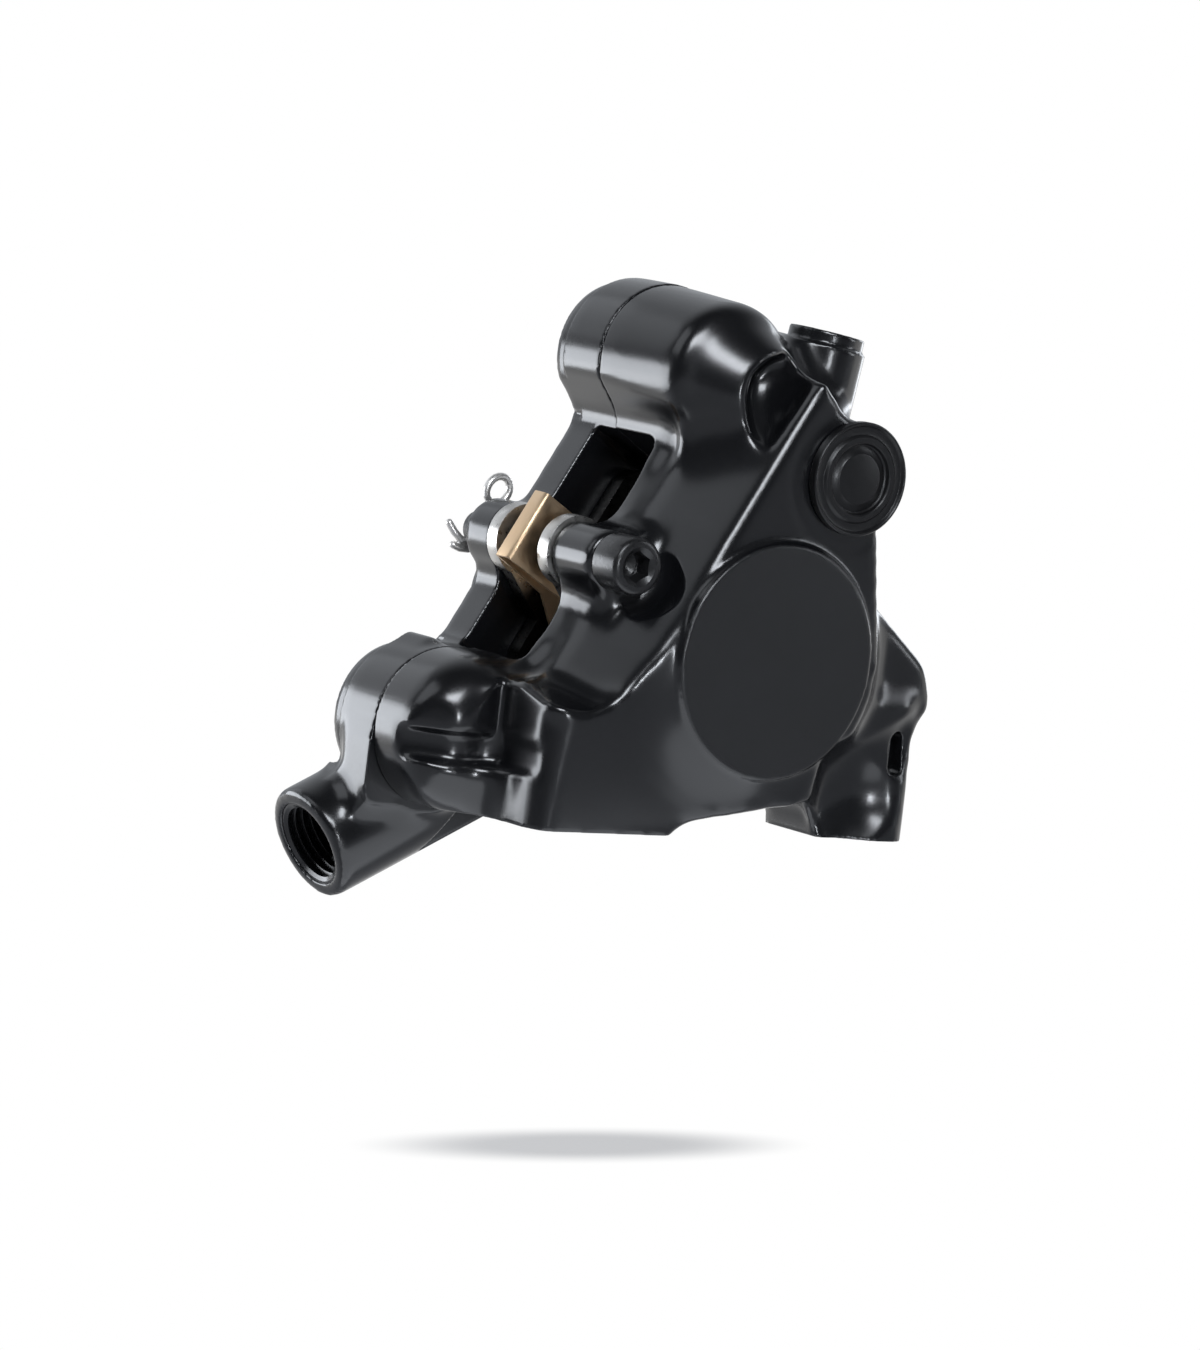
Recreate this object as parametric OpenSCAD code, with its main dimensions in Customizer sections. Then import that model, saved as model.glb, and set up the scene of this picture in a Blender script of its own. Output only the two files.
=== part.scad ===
// Rear flat-mount disc brake caliper with two forged halves, two opposed pistons and two pads on one axle.
// The origin lies midway between the two frame bolts, on the mount face.
// X runs along the bolts, Y towards the wheel along the rotor axis, Z away from the frame.

/* [Mount] */
// Distance between the two frame bolts
mount_pitch = 34; // [32:0.5:36]
// Radius of a tapped frame bolt hole
mount_hole_r = 2.1; // [1.8:0.1:2.4]
// Depth of a frame bolt hole
mount_hole_depth = 10; // [7:0.5:11]
// Reach of the left foot outside its bolt
left_foot_out = 9; // [7:0.5:10]
// Reach of the left foot inside its bolt
left_foot_in = 7.3; // [5:0.1:9]
// Width of the left foot along the rotor axis
left_foot_w = 14.4; // [11:0.2:15]
// Height of the left foot where it stands clear of the pad wall
left_foot_h = 6; // [4:0.5:8]
// Reach of the right foot outside its bolt
right_foot_out = 6.7; // [5:0.1:8]
// Reach of the right foot inside its bolt
right_foot_in = 4.8; // [4:0.1:6]
// Width of the right foot along the rotor axis
right_foot_w = 12.4; // [10:0.2:14]
// Width of the slot in the right foot
slot_w = 2; // [1.4:0.1:2.4]
// Length of that slot
slot_len = 4.7; // [3.5:0.1:5.5]
// Depth of that slot
slot_depth = 3.4; // [2:0.1:4]
// Height of that slot's middle above the mount face
slot_z = 9.6; // [8.5:0.1:10.5]
// Wall between that slot and the foot's outer end
slot_wall = 0.8; // [0.6:0.1:1.4]
// Corner radius of the feet
foot_round = 2.4; // [1:0.1:3]
// Height of the relief under the beam between the feet, at the left foot
relief_low = 1.2; // [0.6:0.1:2]
// Height of the same relief at the right foot
relief_high = 5; // [3:0.25:6]

/* [Rotor gap] */
// Distance of the rotor's middle plane from the bolt line
rotor_y = 11; // [10:0.25:12.5]
// Width of the pad window along the rotor axis
window_w = 11.4; // [10.8:0.1:12.4]
// Length of the pad window
window_len = 28.8; // [28:0.2:31]
// Offset of the parting plane from the rotor's middle plane
parting_off = 1.8; // [0.6:0.1:2.6]
// Free gap between the two linings with the pistons pushed back
lining_gap = 4.2; // [3.6:0.1:4.8]

/* [Pistons] */
// Place of the piston axis along the bolt line
piston_x = 0.5; // [-2:0.25:2]
// Height of the piston axis above the mount face
piston_z = 19.4; // [18.5:0.1:21]
// Lean of the pads from upright, which turns their insert side towards the hose
lean = 60; // [56:1:64]
// Radius of a piston
piston_r = 11; // [10:0.25:11.25]
// Length of a piston
piston_len = 9.8; // [8:0.2:11]
// Wall of a piston cup
piston_wall = 2; // [1.5:0.1:3]
// Thickness of a piston's floor
piston_floor = 3; // [2:0.25:4]
// Radial running clearance of a piston in its bore
bore_fit = 0.06; // [0.03:0.01:0.1]
// Oil space behind a piston that is pushed back
bore_spare = 1.8; // [1:0.1:2.5]
// Wall that closes the cylinder
cap_wall = 2.7; // [2:0.1:4]
// Radius of the outer cylinder at its face
cylinder_r = 12.7; // [12.4:0.1:13.4]
// Wall between the seal groove and the cylinder's flared base
base_wall = 2.6; // [2.2:0.1:4]
// Step of the pad wall's outline inside that base
web_step = 1.1; // [0.6:0.1:1.4]
// Radial thickness of a piston seal
seal_t = 1.9; // [1.2:0.1:2.2]
// Width of a piston seal along the axis
seal_w = 2.1; // [1.5:0.1:2.6]
// Land between the pad wall and the seal groove
seal_inset = 1.4; // [1:0.1:2]
// Clearance round a seal in its groove
seal_fit = 0.05; // [0.02:0.01:0.1]

/* [Pads] */
// Thickness of a backing plate
plate_t = 1.8; // [1.5:0.1:2]
// Width of a backing plate across the window
plate_w = 27; // [25:0.2:27.6]
// Upper edge of the plate above the piston axis
plate_top = 13; // [11.5:0.25:14]
// Lower edge of the plate below the piston axis
plate_bottom = 10.5; // [9:0.25:11]
// Corner radius of the plate
plate_round = 3; // [1:0.25:4]
// Radius of the ear round the axle
ear_r = 3.9; // [3.5:0.1:4.5]
// Width of the ear's root on the plate
ear_root = 13; // [10:0.5:16]
// Setback of the ear's sides inside its round end
ear_inset = 0.3; // [0.1:0.1:0.6]
// Width of a lining
lining_w = 24.6; // [22:0.2:25]
// Upper edge of the lining above the piston axis
lining_top = 9; // [8:0.25:10]
// Lower edge of the lining below the piston axis
lining_bottom = 6.5; // [5:0.25:8]
// Corner radius of the lining
lining_round = 2; // [1:0.25:3]
// Width of the dust groove across the lining
lining_groove = 1.2; // [0.6:0.1:1.6]
// Depth of the dust groove
lining_groove_depth = 0.8; // [0.4:0.1:1]
// Clearance behind a plate and behind a piston's nose
pad_play = 0.1; // [0.04:0.02:0.2]

/* [Pad axle] */
// Place of the axle along the window, from the piston axis
axle_u = -1; // [-2:0.25:1]
// Height of the axle above the piston axis
axle_v = 19.7; // [19.2:0.1:20.4]
// Radius of the axle
axle_r = 2; // [1.75:0.05:2.2]
// Radius of the axle's head
axle_head_r = 3.1; // [2.8:0.1:3.4]
// Length of the axle's head
axle_head_len = 4.3; // [3:0.1:5]
// Rounding of the axle's head
axle_head_round = 0.4; // [0.2:0.1:0.8]
// Width across the flats of the hex socket
axle_key = 3; // [2.5:0.5:3.5]
// Depth of the hex socket
axle_key_depth = 2.4; // [1.5:0.1:3]
// Radial clearance of the axle in its holes
axle_fit = 0.08; // [0.04:0.01:0.1]
// Reach of the axle's tip past the inner half
axle_tip = 2.6; // [2.2:0.1:3.2]
// Radius of the outer axle boss
outer_boss_r = 3.4; // [3.2:0.1:3.8]
// Length of the outer axle boss from the pad wall
outer_boss_len = 6.9; // [5.5:0.1:8]
// Radius of the inner axle boss
inner_boss_r = 3.8; // [3.2:0.1:4.2]
// Length of the inner axle boss from the pad wall
inner_boss_len = 4.7; // [3.6:0.1:4.8]
// Radius of the scoop that clears the axle's head
scoop_r = 5.2; // [4.4:0.1:6]
// Radius of the clip's wire
wire_r = 0.42; // [0.3:0.02:0.48]
// Radius of the clip's closed stem, in wire radii
pin_stem = 1.9; // [1.8:0.05:2]
// Inner radius of the clip's eye
clip_eye_r = 1.1; // [0.8:0.1:1.6]
// Length of a clip leg past the axle
clip_leg = 3; // [2.4:0.2:5]
// Spread of each clip leg from the clip's line
clip_spread = 16; // [8:1:22]
// Turn of the clip round the axle, from the bolt line
clip_turn = 48; // [30:1:70]

/* [Pad spring] */
// Thickness of the spring sheet
spring_t = 0.4; // [0.3:0.05:0.5]
// Height of the saddle above the axle
saddle_h = 4.3; // [4:0.1:5]
// Width of the saddle along the rotor axis
saddle_w = 2.9; // [2.4:0.1:3.4]
// Length of the saddle along the window
saddle_len = 8.2; // [7.4:0.1:9]
// Outward lean of the saddle's flanks at the axle
flank_out = 0.35; // [0.1:0.05:0.6]
// Height of the bend where the flanks spread towards the plates, below the axle
flank_bend = 2.9; // [2.6:0.1:3.4]
// Height of the leaves' feet above the lining
leaf_clear = 1.1; // [0.6:0.1:2]
// Gap between a leaf's foot and its plate
leaf_gap = 0.15; // [0.1:0.05:0.3]
// Width of a leaf at its foot
leaf_w = 14; // [10:0.5:18]

/* [Halves] */
// Rise of the axle above the insert side
axle_rise = 1.3; // [0.8:0.1:1.8]
// Fall of the slope from the window to the front crease
slope_fall = 5.7; // [4.8:0.1:6.4]
// Strip left between the window's end and a lobe
strip_end = 1.2; // [0.8:0.1:1.6]
// Width of the gentle strip beside the pad window
strip_flat = 4.5; // [3.5:0.25:5.5]
// Fall of that strip away from the window
strip_fall = 0.86; // [0.5:0.02:1.2]
// Setback of the outer half's front behind the cylinder's face
front_setback = 1; // [0.4:0.1:2]
// Height of the ledge over the left foot, at the pad wall
ledge_back = 16.6; // [15:0.2:18]
// Height of the ledge over the left foot, at the front
ledge_front = 12.4; // [10.5:0.2:13.5]
// Radius of the hollow where the ledge runs into the slope
ledge_hollow = 12; // [9:0.5:14]
// Corner radius of the outer half's lower left corner
skirt_round = 4.5; // [3:0.25:6]
// Setback of the wing behind the front
wing_setback = 2.6; // [1:0.2:4]
// Radius of the front ridge's round upper end
ridge_r = 5.6; // [5:0.1:6.4]
// Place of that round end before the upper lobe's middle
ridge_back = 1.6; // [0.5:0.1:3]
// Place of that round end above the crease
ridge_up = 0.8; // [0:0.1:2]
// Overhang of the wing past the right foot
wing_over = 1.3; // [0.6:0.1:2]
// Radius of the wing's shoulder over the right foot
wing_r = 6.3; // [5.5:0.1:7]
// Height of the wing's shoulder
wing_z = 15.4; // [13.5:0.2:17]
// Radius of the hollow under the wing
hollow_r = 8; // [6:0.5:10]
// Depth of the hollow behind the wing
hollow_deep = 1.75; // [1:0.25:2]
// Start of the hollow, to the right of the middle
hollow_x = 11.2; // [10.5:0.2:12]
// Height of the hollow's start
hollow_z = 3.1; // [2.5:0.2:3.7]
// Rise of the hollow towards the right
hollow_rise = 26; // [20:1:30]
// Length of the hollow before it runs out
hollow_len = 4.8; // [4:0.2:6]
// How far the right foot's front is tucked in below the wing
foot_tuck = 0.9; // [0.5:0.1:1.4]
// Thickness of the inner half's flange behind the pad wall
flange_t = 5; // [4.2:0.1:5.6]
// Radius of the inner cylinder
inner_cylinder_r = 13.6; // [13.3:0.1:14.6]
// Radius of the flange round the inner cylinder
flange_r = 14.4; // [14:0.1:15.4]
// Rounding of the outer cylinder's face edge
face_round = 0.4; // [0.2:0.1:0.8]
// Rounding of the inner cylinder's closed end
cap_round = 1.6; // [0.6:0.1:2.4]

/* [Lobes] */
// Distance of a lobe's bolt from the piston axis, along the window
lobe_u = 23.4; // [23.2:0.1:25]
// Depth of a lobe's middle below the insert side
lobe_drop = 0.6; // [0.2:0.1:1.2]
// Radius of a lobe
lobe_r = 8.7; // [8:0.1:9]
// Reach of the upper lobe's nose in front of the parting plane
upper_nose = 13.6; // [12:0.2:15]
// Rounding of the upper lobe's nose
upper_nose_round = 2.4; // [1.4:0.1:3]
// Taper of the upper lobe towards its nose
upper_draft = 0.7; // [0.3:0.1:1]
// Reach of the forged head in front of the upper lobe's nose
head_reach = 3.6; // [2.6:0.1:4.2]
// Radius of that head's flat front
head_r = 4.4; // [3.6:0.1:5]
// Drop of that flat front below the upper lobe's middle
head_drop = 3.1; // [2:0.1:4]
// Reach of the lower lobe's nose in front of the parting plane
lower_nose = 9.8; // [9.4:0.1:11]
// Rounding of the lower lobe's nose
lower_nose_round = 4.4; // [3:0.2:5]
// Underside of a lobe's neck above the lobe's lowest point, at the bolt
neck_low = 0.6; // [0.3:0.1:1.2]
// The same at the pad window
neck_high = 2; // [1.4:0.1:3]
// Depth of the groove across the lower lobe's nose
groove_depth = 1.8; // [1:0.1:2.4]
// Height of that groove
groove_h = 3.6; // [2.4:0.1:4.4]
// Lower edge of that groove below the lobe's middle
groove_drop = 2.9; // [2:0.1:3.6]
// Step of the inner flange inside the lobes
lobe_step = 0.3; // [0.1:0.1:0.6]
// Width of the groove round each inner lobe
lobe_groove = 0.5; // [0.3:0.1:0.8]
// Thickness of the cap behind that groove
lobe_cap = 2; // [1.5:0.1:2.6]
// Shift of a bridge bolt from its lobe's middle towards the window
bolt_shift_u = 2.2; // [1:0.1:2.6]
// Shift of a bridge bolt from its lobe's middle away from the piston
bolt_shift_v = 1.2; // [0.6:0.1:1.8]
// Radius of a bridge bolt
bolt_r = 2.5; // [2:0.1:3]
// Length of a bridge bolt in the outer half
bolt_reach = 6.4; // [5:0.1:7]
// Radius of a bridge bolt's head
bolt_head_r = 4.2; // [3.8:0.1:4.5]
// Length of a bridge bolt's head
bolt_head_len = 3.6; // [3:0.1:4.2]
// Width across the flats of a bridge bolt's socket
bolt_key = 4; // [3:0.5:5]
// Depth of a bridge bolt's socket
bolt_key_depth = 2.2; // [1.6:0.1:2.6]
// Radial clearance round a bridge bolt
bolt_fit = 0.1; // [0.05:0.01:0.2]
// Radius of the oil passage between the halves
passage_r = 0.9; // [0.6:0.1:1.1]
// Distance of the oil passage from the bridge bolt
passage_off = 5.3; // [5.1:0.1:5.6]
// Radius of the passage seal's ring
passage_ring_r = 1.5; // [1.4:0.05:1.6]
// Radius of the passage seal's section
passage_ring_t = 0.4; // [0.3:0.05:0.45]

/* [Bleed port] */
// Place of the bleed port along the bolt line
bleed_x = 8.2; // [7:0.2:10]
// Height of the bleed port above the mount face
bleed_z = 39.5; // [38:0.25:41]
// Radius of the bleed port's boss
bleed_boss_r = 6; // [5.6:0.1:6.6]
// Radius of the pad wall's corner behind the bleed port
bleed_web_r = 3.8; // [3:0.1:5]
// Radius of the pocket that holds the nipple
bleed_pocket_r = 4.6; // [4.3:0.1:4.8]
// Depth of that pocket
bleed_pocket_depth = 4.2; // [3.5:0.1:5]
// Radius of the nipple's thread
nipple_r = 2.4; // [2:0.1:2.8]
// Length of the nipple's thread
nipple_len = 4; // [3:0.1:5]
// Width across the flats of the nipple's hex
nipple_key = 6; // [5:0.5:6.5]
// Radius of the bleed cap's rim
bleed_cap_r = 6.1; // [5.8:0.1:6.6]
// Stand of the bleed cap proud of the cylinder's face
bleed_proud = 0.5; // [0.4:0.1:1.5]
// Thickness of the bleed cap's rim
bleed_cap_t = 1.3; // [0.8:0.1:2]
// Radius of the disc in the middle of the bleed cap
cap_disc_r = 2.8; // [2:0.1:3.2]
// Inner radius of the cap's raised ring
cap_ring_in = 3.75; // [3.4:0.05:4]
// Outer radius of the cap's raised ring
cap_ring_out = 4.7; // [4.4:0.1:5.2]
// Depth of the relief round the cap's raised ring
cap_relief = 0.3; // [0.1:0.05:0.5]
// Depth of the cap's plug in the pocket
bleed_plug = 1.1; // [0.8:0.1:1.4]

/* [Valve] */
// Place of the valve's top along the bolt line
valve_x = 11.4; // [10.8:0.2:12.6]
// Place of the valve's axis along the rotor axis
valve_y = 3.6; // [2:0.2:4]
// Height of the valve's top above the mount face
valve_z = 54; // [52:0.25:56]
// Tilt of the valve's axis from upright
valve_tilt = 8.5; // [4:0.5:12]
// Radius of the valve's boss
valve_boss_r = 4.5; // [4.2:0.1:5]
// Length of the valve's boss
valve_boss_len = 20; // [17:0.5:22]
// Radius of the valve screw's head
valve_head_r = 3.4; // [3:0.1:3.6]
// Length of the valve screw's head
valve_head_len = 3; // [2.4:0.1:4]
// Radius of the valve screw's stem
valve_stem_r = 2.3; // [1.8:0.1:2.5]
// Length of the valve screw's stem
valve_stem_len = 8; // [6:0.25:10]
// Width across the flats of the valve's socket
valve_key = 3; // [2.5:0.5:3.5]
// Radial running clearance of the valve screw
valve_fit = 0.08; // [0.04:0.01:0.1]
// Radius of the valve O-ring's section
valve_ring_t = 0.36; // [0.3:0.02:0.44]
// Height of the valve O-ring above the stem's end
valve_ring_up = 3; // [2:0.25:5]
// Depth of the valve screw's head below its boss
valve_sink = 0.2; // [0.1:0.1:0.6]
// Floor left under the valve's socket
valve_key_floor = 0.9; // [0.6:0.1:1.2]

/* [Hose port] */
// Place of the hose port's mouth along the bolt line
hose_x = -37.1; // [-39:0.1:-36]
// Place of the hose port's axis along the rotor axis
hose_y = 20; // [19:0.2:21]
// Height of the hose port's mouth, below the mount face
hose_z = -6.2; // [-7.5:0.1:-5]
// Dip of the hose port's axis below the bolt line
hose_dip = 26.8; // [22:0.5:32]
// Outer radius of the hose port
hose_tube_r = 6.35; // [5.8:0.05:6.8]
// Length of the hose port's tube
hose_tube_len = 21; // [19:0.5:23]
// Radius of the hose port's tapped bore
hose_bore_r = 4.1; // [3.6:0.1:4.6]
// Depth of the hose port's tapped bore
hose_bore_depth = 12; // [9:0.5:13]
// Width of the rib pad that joins the hose port to its lobe
rib_w = 5.3; // [4:0.1:6]
// Top of that rib pad above the mount face
rib_z = 7.4; // [6:0.1:8]
// Stand of that rib pad proud of the lobe
rib_proud = 0.3; // [0.2:0.1:0.6]
// Length of that rib pad along the bolt line
rib_len = 9; // [7:0.5:10]
// Chamfer at the mouth of the bore
hose_chamfer = 0.5; // [0.2:0.1:0.9]

/* [Hidden] */
$fn = 72;
// Overlap that makes cuts run clear of a face
over = 1;
// Half width of a slab that cuts right across the caliper
reach = 100;
// Inset that lets a band cross its circles instead of only touching them
tangent_gap = 0.03;
body_tint = "#1b1c20";
steel_tint = "#b9b9b6";
dark_tint = "#26262a";

// Stations along the rotor axis
wall_out = rotor_y - window_w / 2;
wall_in = rotor_y + window_w / 2;
parting = rotor_y + parting_off;
plate_y = wall_out + pad_play;
lining_y = plate_y + plate_t;
lining_t = rotor_y - lining_gap / 2 - lining_y;
nose_y = plate_y - pad_play / 2;
bore_end = nose_y - piston_len - bore_spare;
face_y = bore_end - cap_wall;
front_y = face_y + front_setback;
wing_y = front_y + wing_setback;
flange_back = wall_in + flange_t;
bore_r = piston_r + bore_fit;
groove_r = bore_r + seal_t + seal_fit;
base_r = groove_r + base_wall;
boss_end = wall_out - outer_boss_len;
cap_y = face_y - bleed_proud;
bleed_seat = cap_y + bleed_cap_t;
nipple_seat = bleed_seat + bleed_pocket_depth;
stem_r = wire_r * pin_stem;
valve_ring_r = valve_stem_r + valve_fit - seal_fit - valve_ring_t;
valve_ring_at = valve_ring_up - valve_head_len - valve_stem_len;

strip_v = axle_v - axle_rise;
crease_v = strip_v - slope_fall;
lobe_v = strip_v - lobe_drop;

// Places in the plane of the pads, as [along the bolts, off the frame]
function xz(u, v) = [piston_x + u * cos(lean) - v * sin(lean), piston_z + u * sin(lean) + v * cos(lean)];
piston_at = [piston_x, piston_z];
upper_lobe = xz(lobe_u, lobe_v);
lower_lobe = xz(-lobe_u, lobe_v);
upper_bolt = xz(lobe_u - bolt_shift_u, lobe_v + bolt_shift_v);
lower_bolt = xz(bolt_shift_u - lobe_u, lobe_v + bolt_shift_v);
axle_at = xz(axle_u, axle_v);
bleed_at = [bleed_x, bleed_z];
left_bolt = -mount_pitch / 2;
right_bolt = mount_pitch / 2;
passage_at = lower_bolt + passage_off * [cos(lean), -sin(lean)];
head_at = xz(lobe_u, lobe_v - head_drop);
head_step = upper_nose_round / 4;
ridge_at = xz(lobe_u - ridge_back, crease_v + ridge_up);
web_r = base_r - web_step;
strip_half = window_len / 2 + strip_end;
hollow_half = sqrt(hollow_r * hollow_r - pow(hollow_r - hollow_deep, 2));
wing_at = [right_bolt + right_foot_out + wing_over - wing_r, wing_z];

module along_y(y0, y1) {
  translate([0, y1, 0]) rotate([90, 0, 0]) linear_extrude(y1 - y0) children();
}

module along_x(x0, x1) {
  translate([x0, 0, 0]) rotate([90, 0, 90]) linear_extrude(x1 - x0) children();
}

module about_y() {
  rotate([-90, 0, 0]) rotate_extrude() children();
}

module at_xz(p) {
  translate([p.x, 0, p.y]) children();
}

module pad_frame() {
  at_xz(piston_at) rotate([0, -lean, 0]) children();
}

module y_cyl(r, y0, y1) {
  translate([0, y1, 0]) rotate([90, 0, 0]) cylinder(r = r, h = y1 - y0);
}

// Everything between two stations along the rotor axis
module slab(y0, y1) {
  translate([-reach, y0, -reach]) cube([2 * reach, y1 - y0, 2 * reach]);
}

// Swaps the two sides of the rotor
module other_side() {
  translate([0, 2 * rotor_y, 0]) mirror([0, 1, 0]) children();
}

// Two circles and the band that is tangent to both
module link2d(a, ra, b, rb) {
  d = b - a;
  turn = atan2(d.y, d.x);
  swing = acos((ra - rb) / norm(d));
  function edge(c, r, s) = c + (r - tangent_gap) * [cos(turn + s * swing), sin(turn + s * swing)];
  translate(a) circle(ra);
  translate(b) circle(rb);
  polygon([edge(a, ra, 1), edge(b, rb, 1), edge(b, rb, -1), edge(a, ra, -1)]);
}

// Rectangle from corner to corner with round corners
module round_rect(low, high, r) {
  size = high - low;
  translate(low + [r, 0]) square([size.x - 2 * r, size.y]);
  translate(low + [0, r]) square([size.x, size.y - 2 * r]);
  for (x = [low.x + r, high.x - r], y = [low.y + r, high.y - r])
    translate([x, y]) circle(r);
}

// Half section of a round bar along Y whose front end is rounded and may be slimmer
module nose2d(r, y0, y1, f, draft) {
  tip = r - draft;
  polygon([[0, y0 + f], [tip, y0 + f], [r, y1], [0, y1]]);
  translate([0, y0]) square([tip - f, f + over / 2]);
  translate([tip - f, y0 + f]) intersection() {
    circle(f);
    translate([0, -f]) square([f, 2 * f]);
  }
}

module round_nose(r, y0, y1, f, draft = 0) {
  about_y() nose2d(r, y0, y1, f, draft);
}

// The same bar with its back end rounded
module round_back(r, y0, y1, f) {
  translate([0, y0 + y1, 0]) mirror([0, 1, 0]) round_nose(r, y0, y1, f);
}

module hex_key(flats, depth) {
  cylinder(d = flats / cos(30), h = depth, $fn = 6);
}

// Solid between a lobe and the end of the pad window, in the pads' frame
module lobe_neck(side, y0, y1) {
  pad_frame() along_y(y0, y1)
    polygon([[side * window_len / 2, strip_v], [side * lobe_u, strip_v],
             [side * lobe_u, lobe_v - lobe_r + neck_low],
             [side * window_len / 2, lobe_v - lobe_r + neck_high]]);
}

// Outlines given in the pads' own axes, laid in the plane of the bolts
module at_window() {
  translate(piston_at) rotate(lean) children();
}

// Pad wall of the outer half, cut by the slope from the window down to the front crease
module outer_web() {
  intersection() {
    along_y(front_y, wall_out + over) {
      link2d(piston_at, web_r, ridge_at, ridge_r);
      link2d(piston_at, web_r, bleed_at, bleed_web_r);
      link2d(ridge_at, ridge_r, bleed_at, bleed_web_r + tangent_gap);
      link2d(piston_at, web_r, lower_lobe, lobe_r - lobe_groove);
      at_window() polygon([[-strip_half, 0], [strip_half, 0], [strip_half, strip_v + over],
                           [-strip_half, strip_v + over]]);
    }
    pad_frame() along_x(-lobe_u, lobe_u + lobe_r)
      polygon([[wall_out + over, -base_r], [wall_out + over, strip_v],
               [wall_out - strip_flat, strip_v - strip_fall], [front_y, crease_v], [front_y, -base_r]]);
  }
}

// Plan of the front wall, with a round lower left corner
module skirt_plan() {
  translate([0, 0, -over]) linear_extrude(2 * piston_z)
    round_rect([left_bolt - left_foot_out, front_y],
               [right_bolt + 2 * skirt_round, wall_out + 4 * skirt_round], skirt_round);
}

// Front wall over the left foot, with a ledge that falls towards the front
module outer_skirt() {
  left = left_bolt - left_foot_out;
  inner = left_bolt + left_foot_in;
  right = right_bolt - right_foot_in + over;
  fall = (ledge_back - ledge_front) / (wall_out - front_y);
  intersection() {
    along_y(front_y, wall_out + over)
      polygon([[left, 0], [inner, 0], [inner + relief_low, relief_low], [right, relief_high],
               [right, piston_z], [left, piston_z]]);
    along_x(left - over, right + over)
      polygon([[wall_out + over, -over], [wall_out + over, ledge_back + over * fall],
               [front_y, ledge_front], [front_y, -over]]);
    skirt_plan();
  }
}

// Fill under the hollow between the ledge and the slope's crease
module ledge_fill() {
  crease = xz(0, crease_v);
  rise = tan(lean);
  corner_x = crease.x + (ledge_front - crease.y) / rise;
  run = ledge_hollow * tan(lean / 2);
  intersection() {
    skirt_plan();
    along_y(front_y + tangent_gap, boss_end) difference() {
      polygon([[corner_x - run, ledge_front - over], [corner_x + over, ledge_front - over],
               [corner_x + run * cos(lean) + over, ledge_front + run * sin(lean)],
               [corner_x + run * cos(lean), ledge_front + run * sin(lean)],
               [corner_x - run, ledge_front]]);
      translate([corner_x - run, ledge_front + ledge_hollow]) circle(ledge_hollow + tangent_gap);
    }
  }
}

// Cylinder that holds the outer piston, flared into the pad wall
module outer_cylinder() {
  flare = base_r - cylinder_r;
  at_xz(piston_at) {
    round_nose(cylinder_r, face_y, wall_out + over, face_round);
    about_y() difference() {
      translate([0, wing_y - flare]) square([base_r, wall_out + over - wing_y + flare]);
      translate([base_r, wing_y - flare]) circle(flare);
    }
  }
}

// All of the outer half that ends at the pad wall
module outer_wall() {
  difference() {
    union() {
      outer_web();
      outer_skirt();
      ledge_fill();
      outer_cylinder();
      along_y(wing_y, wall_out + over)
        link2d(piston_at, web_r, wing_at, wing_r);
      at_xz(axle_at) y_cyl(outer_boss_r, boss_end, wall_out + over);
      at_xz(bleed_at) y_cyl(bleed_boss_r, bleed_seat, wall_out + over);
    }
    slab(wall_out, parting);
  }
}

module outer_feet() {
  linear_extrude(left_foot_h)
    round_rect([left_bolt - left_foot_out, -left_foot_w / 2],
               [left_bolt + left_foot_in, left_foot_w / 2], foot_round);
  linear_extrude(wing_z)
    round_rect([right_bolt - right_foot_in, -right_foot_w / 2],
               [right_bolt + right_foot_out, right_foot_w / 2], foot_round);
}

// Hollow under the wing, then the right foot's front tucked in below the wing's edge
module wing_hollow() {
  start = hollow_x + hollow_len;
  end = right_bolt + right_foot_out + over;
  edge = hollow_z + hollow_half / cos(hollow_rise);
  rise = tan(hollow_rise);
  translate([hollow_x, wing_y + hollow_deep - hollow_r, hollow_z]) rotate([0, 90 - hollow_rise, 0]) {
    cylinder(r = hollow_r, h = hollow_len);
    translate([0, 0, hollow_len]) sphere(r = hollow_r + tangent_gap);
  }
  intersection() {
    along_y(wing_y - 4 * over, wing_y + 4 * over)
      polygon([[start, -over], [end, -over], [end, edge + rise * (end - hollow_x)],
               [start, edge + rise * (start - hollow_x)]]);
    along_x(hollow_x, end + over)
      polygon([[wing_y - 4 * over, over], [-right_foot_w / 2 - tangent_gap, over],
               [wing_y + foot_tuck, wing_z], [wing_y - 4 * over, wing_z]]);
  }
}

// Upright slot in the front of the right foot
module foot_slot() {
  r = slot_w / 2;
  half = slot_len / 2 - r;
  translate([right_bolt + right_foot_out - slot_wall - r, 0, slot_z]) {
    for (side = [-1, 1])
      translate([0, 0, side * half]) y_cyl(r, face_y, slot_depth - right_foot_w / 2);
    translate([-r, face_y, -half]) cube([slot_w, slot_depth - right_foot_w / 2 - face_y, 2 * half]);
  }
}

// Blunt head between the upper lobe's nose and the front ridge
module upper_head() {
  nose = parting - upper_nose;
  hull() {
    at_xz(upper_lobe)
      y_cyl(lobe_r - upper_draft - upper_nose_round / 2, nose + head_step, nose + upper_nose_round);
    at_xz(head_at) y_cyl(head_r, nose - head_reach, nose);
  }
}

// Lower lobe with a level groove across its nose
module lower_nose() {
  nose = parting - lower_nose;
  difference() {
    at_xz(lower_lobe) round_nose(lobe_r, nose, parting + over, lower_nose_round);
    translate([lower_lobe.x - lobe_r - over, nose - over, lower_lobe.y - groove_drop])
      cube([2 * (lobe_r + over), groove_depth + over, groove_h]);
  }
}

module outer_lobes() {
  at_xz(upper_lobe) round_nose(lobe_r, parting - upper_nose, parting + over, upper_nose_round, upper_draft);
  upper_head();
  lower_nose();
  for (side = [-1, 1])
    lobe_neck(side, wall_out - over, parting + over);
}

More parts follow.
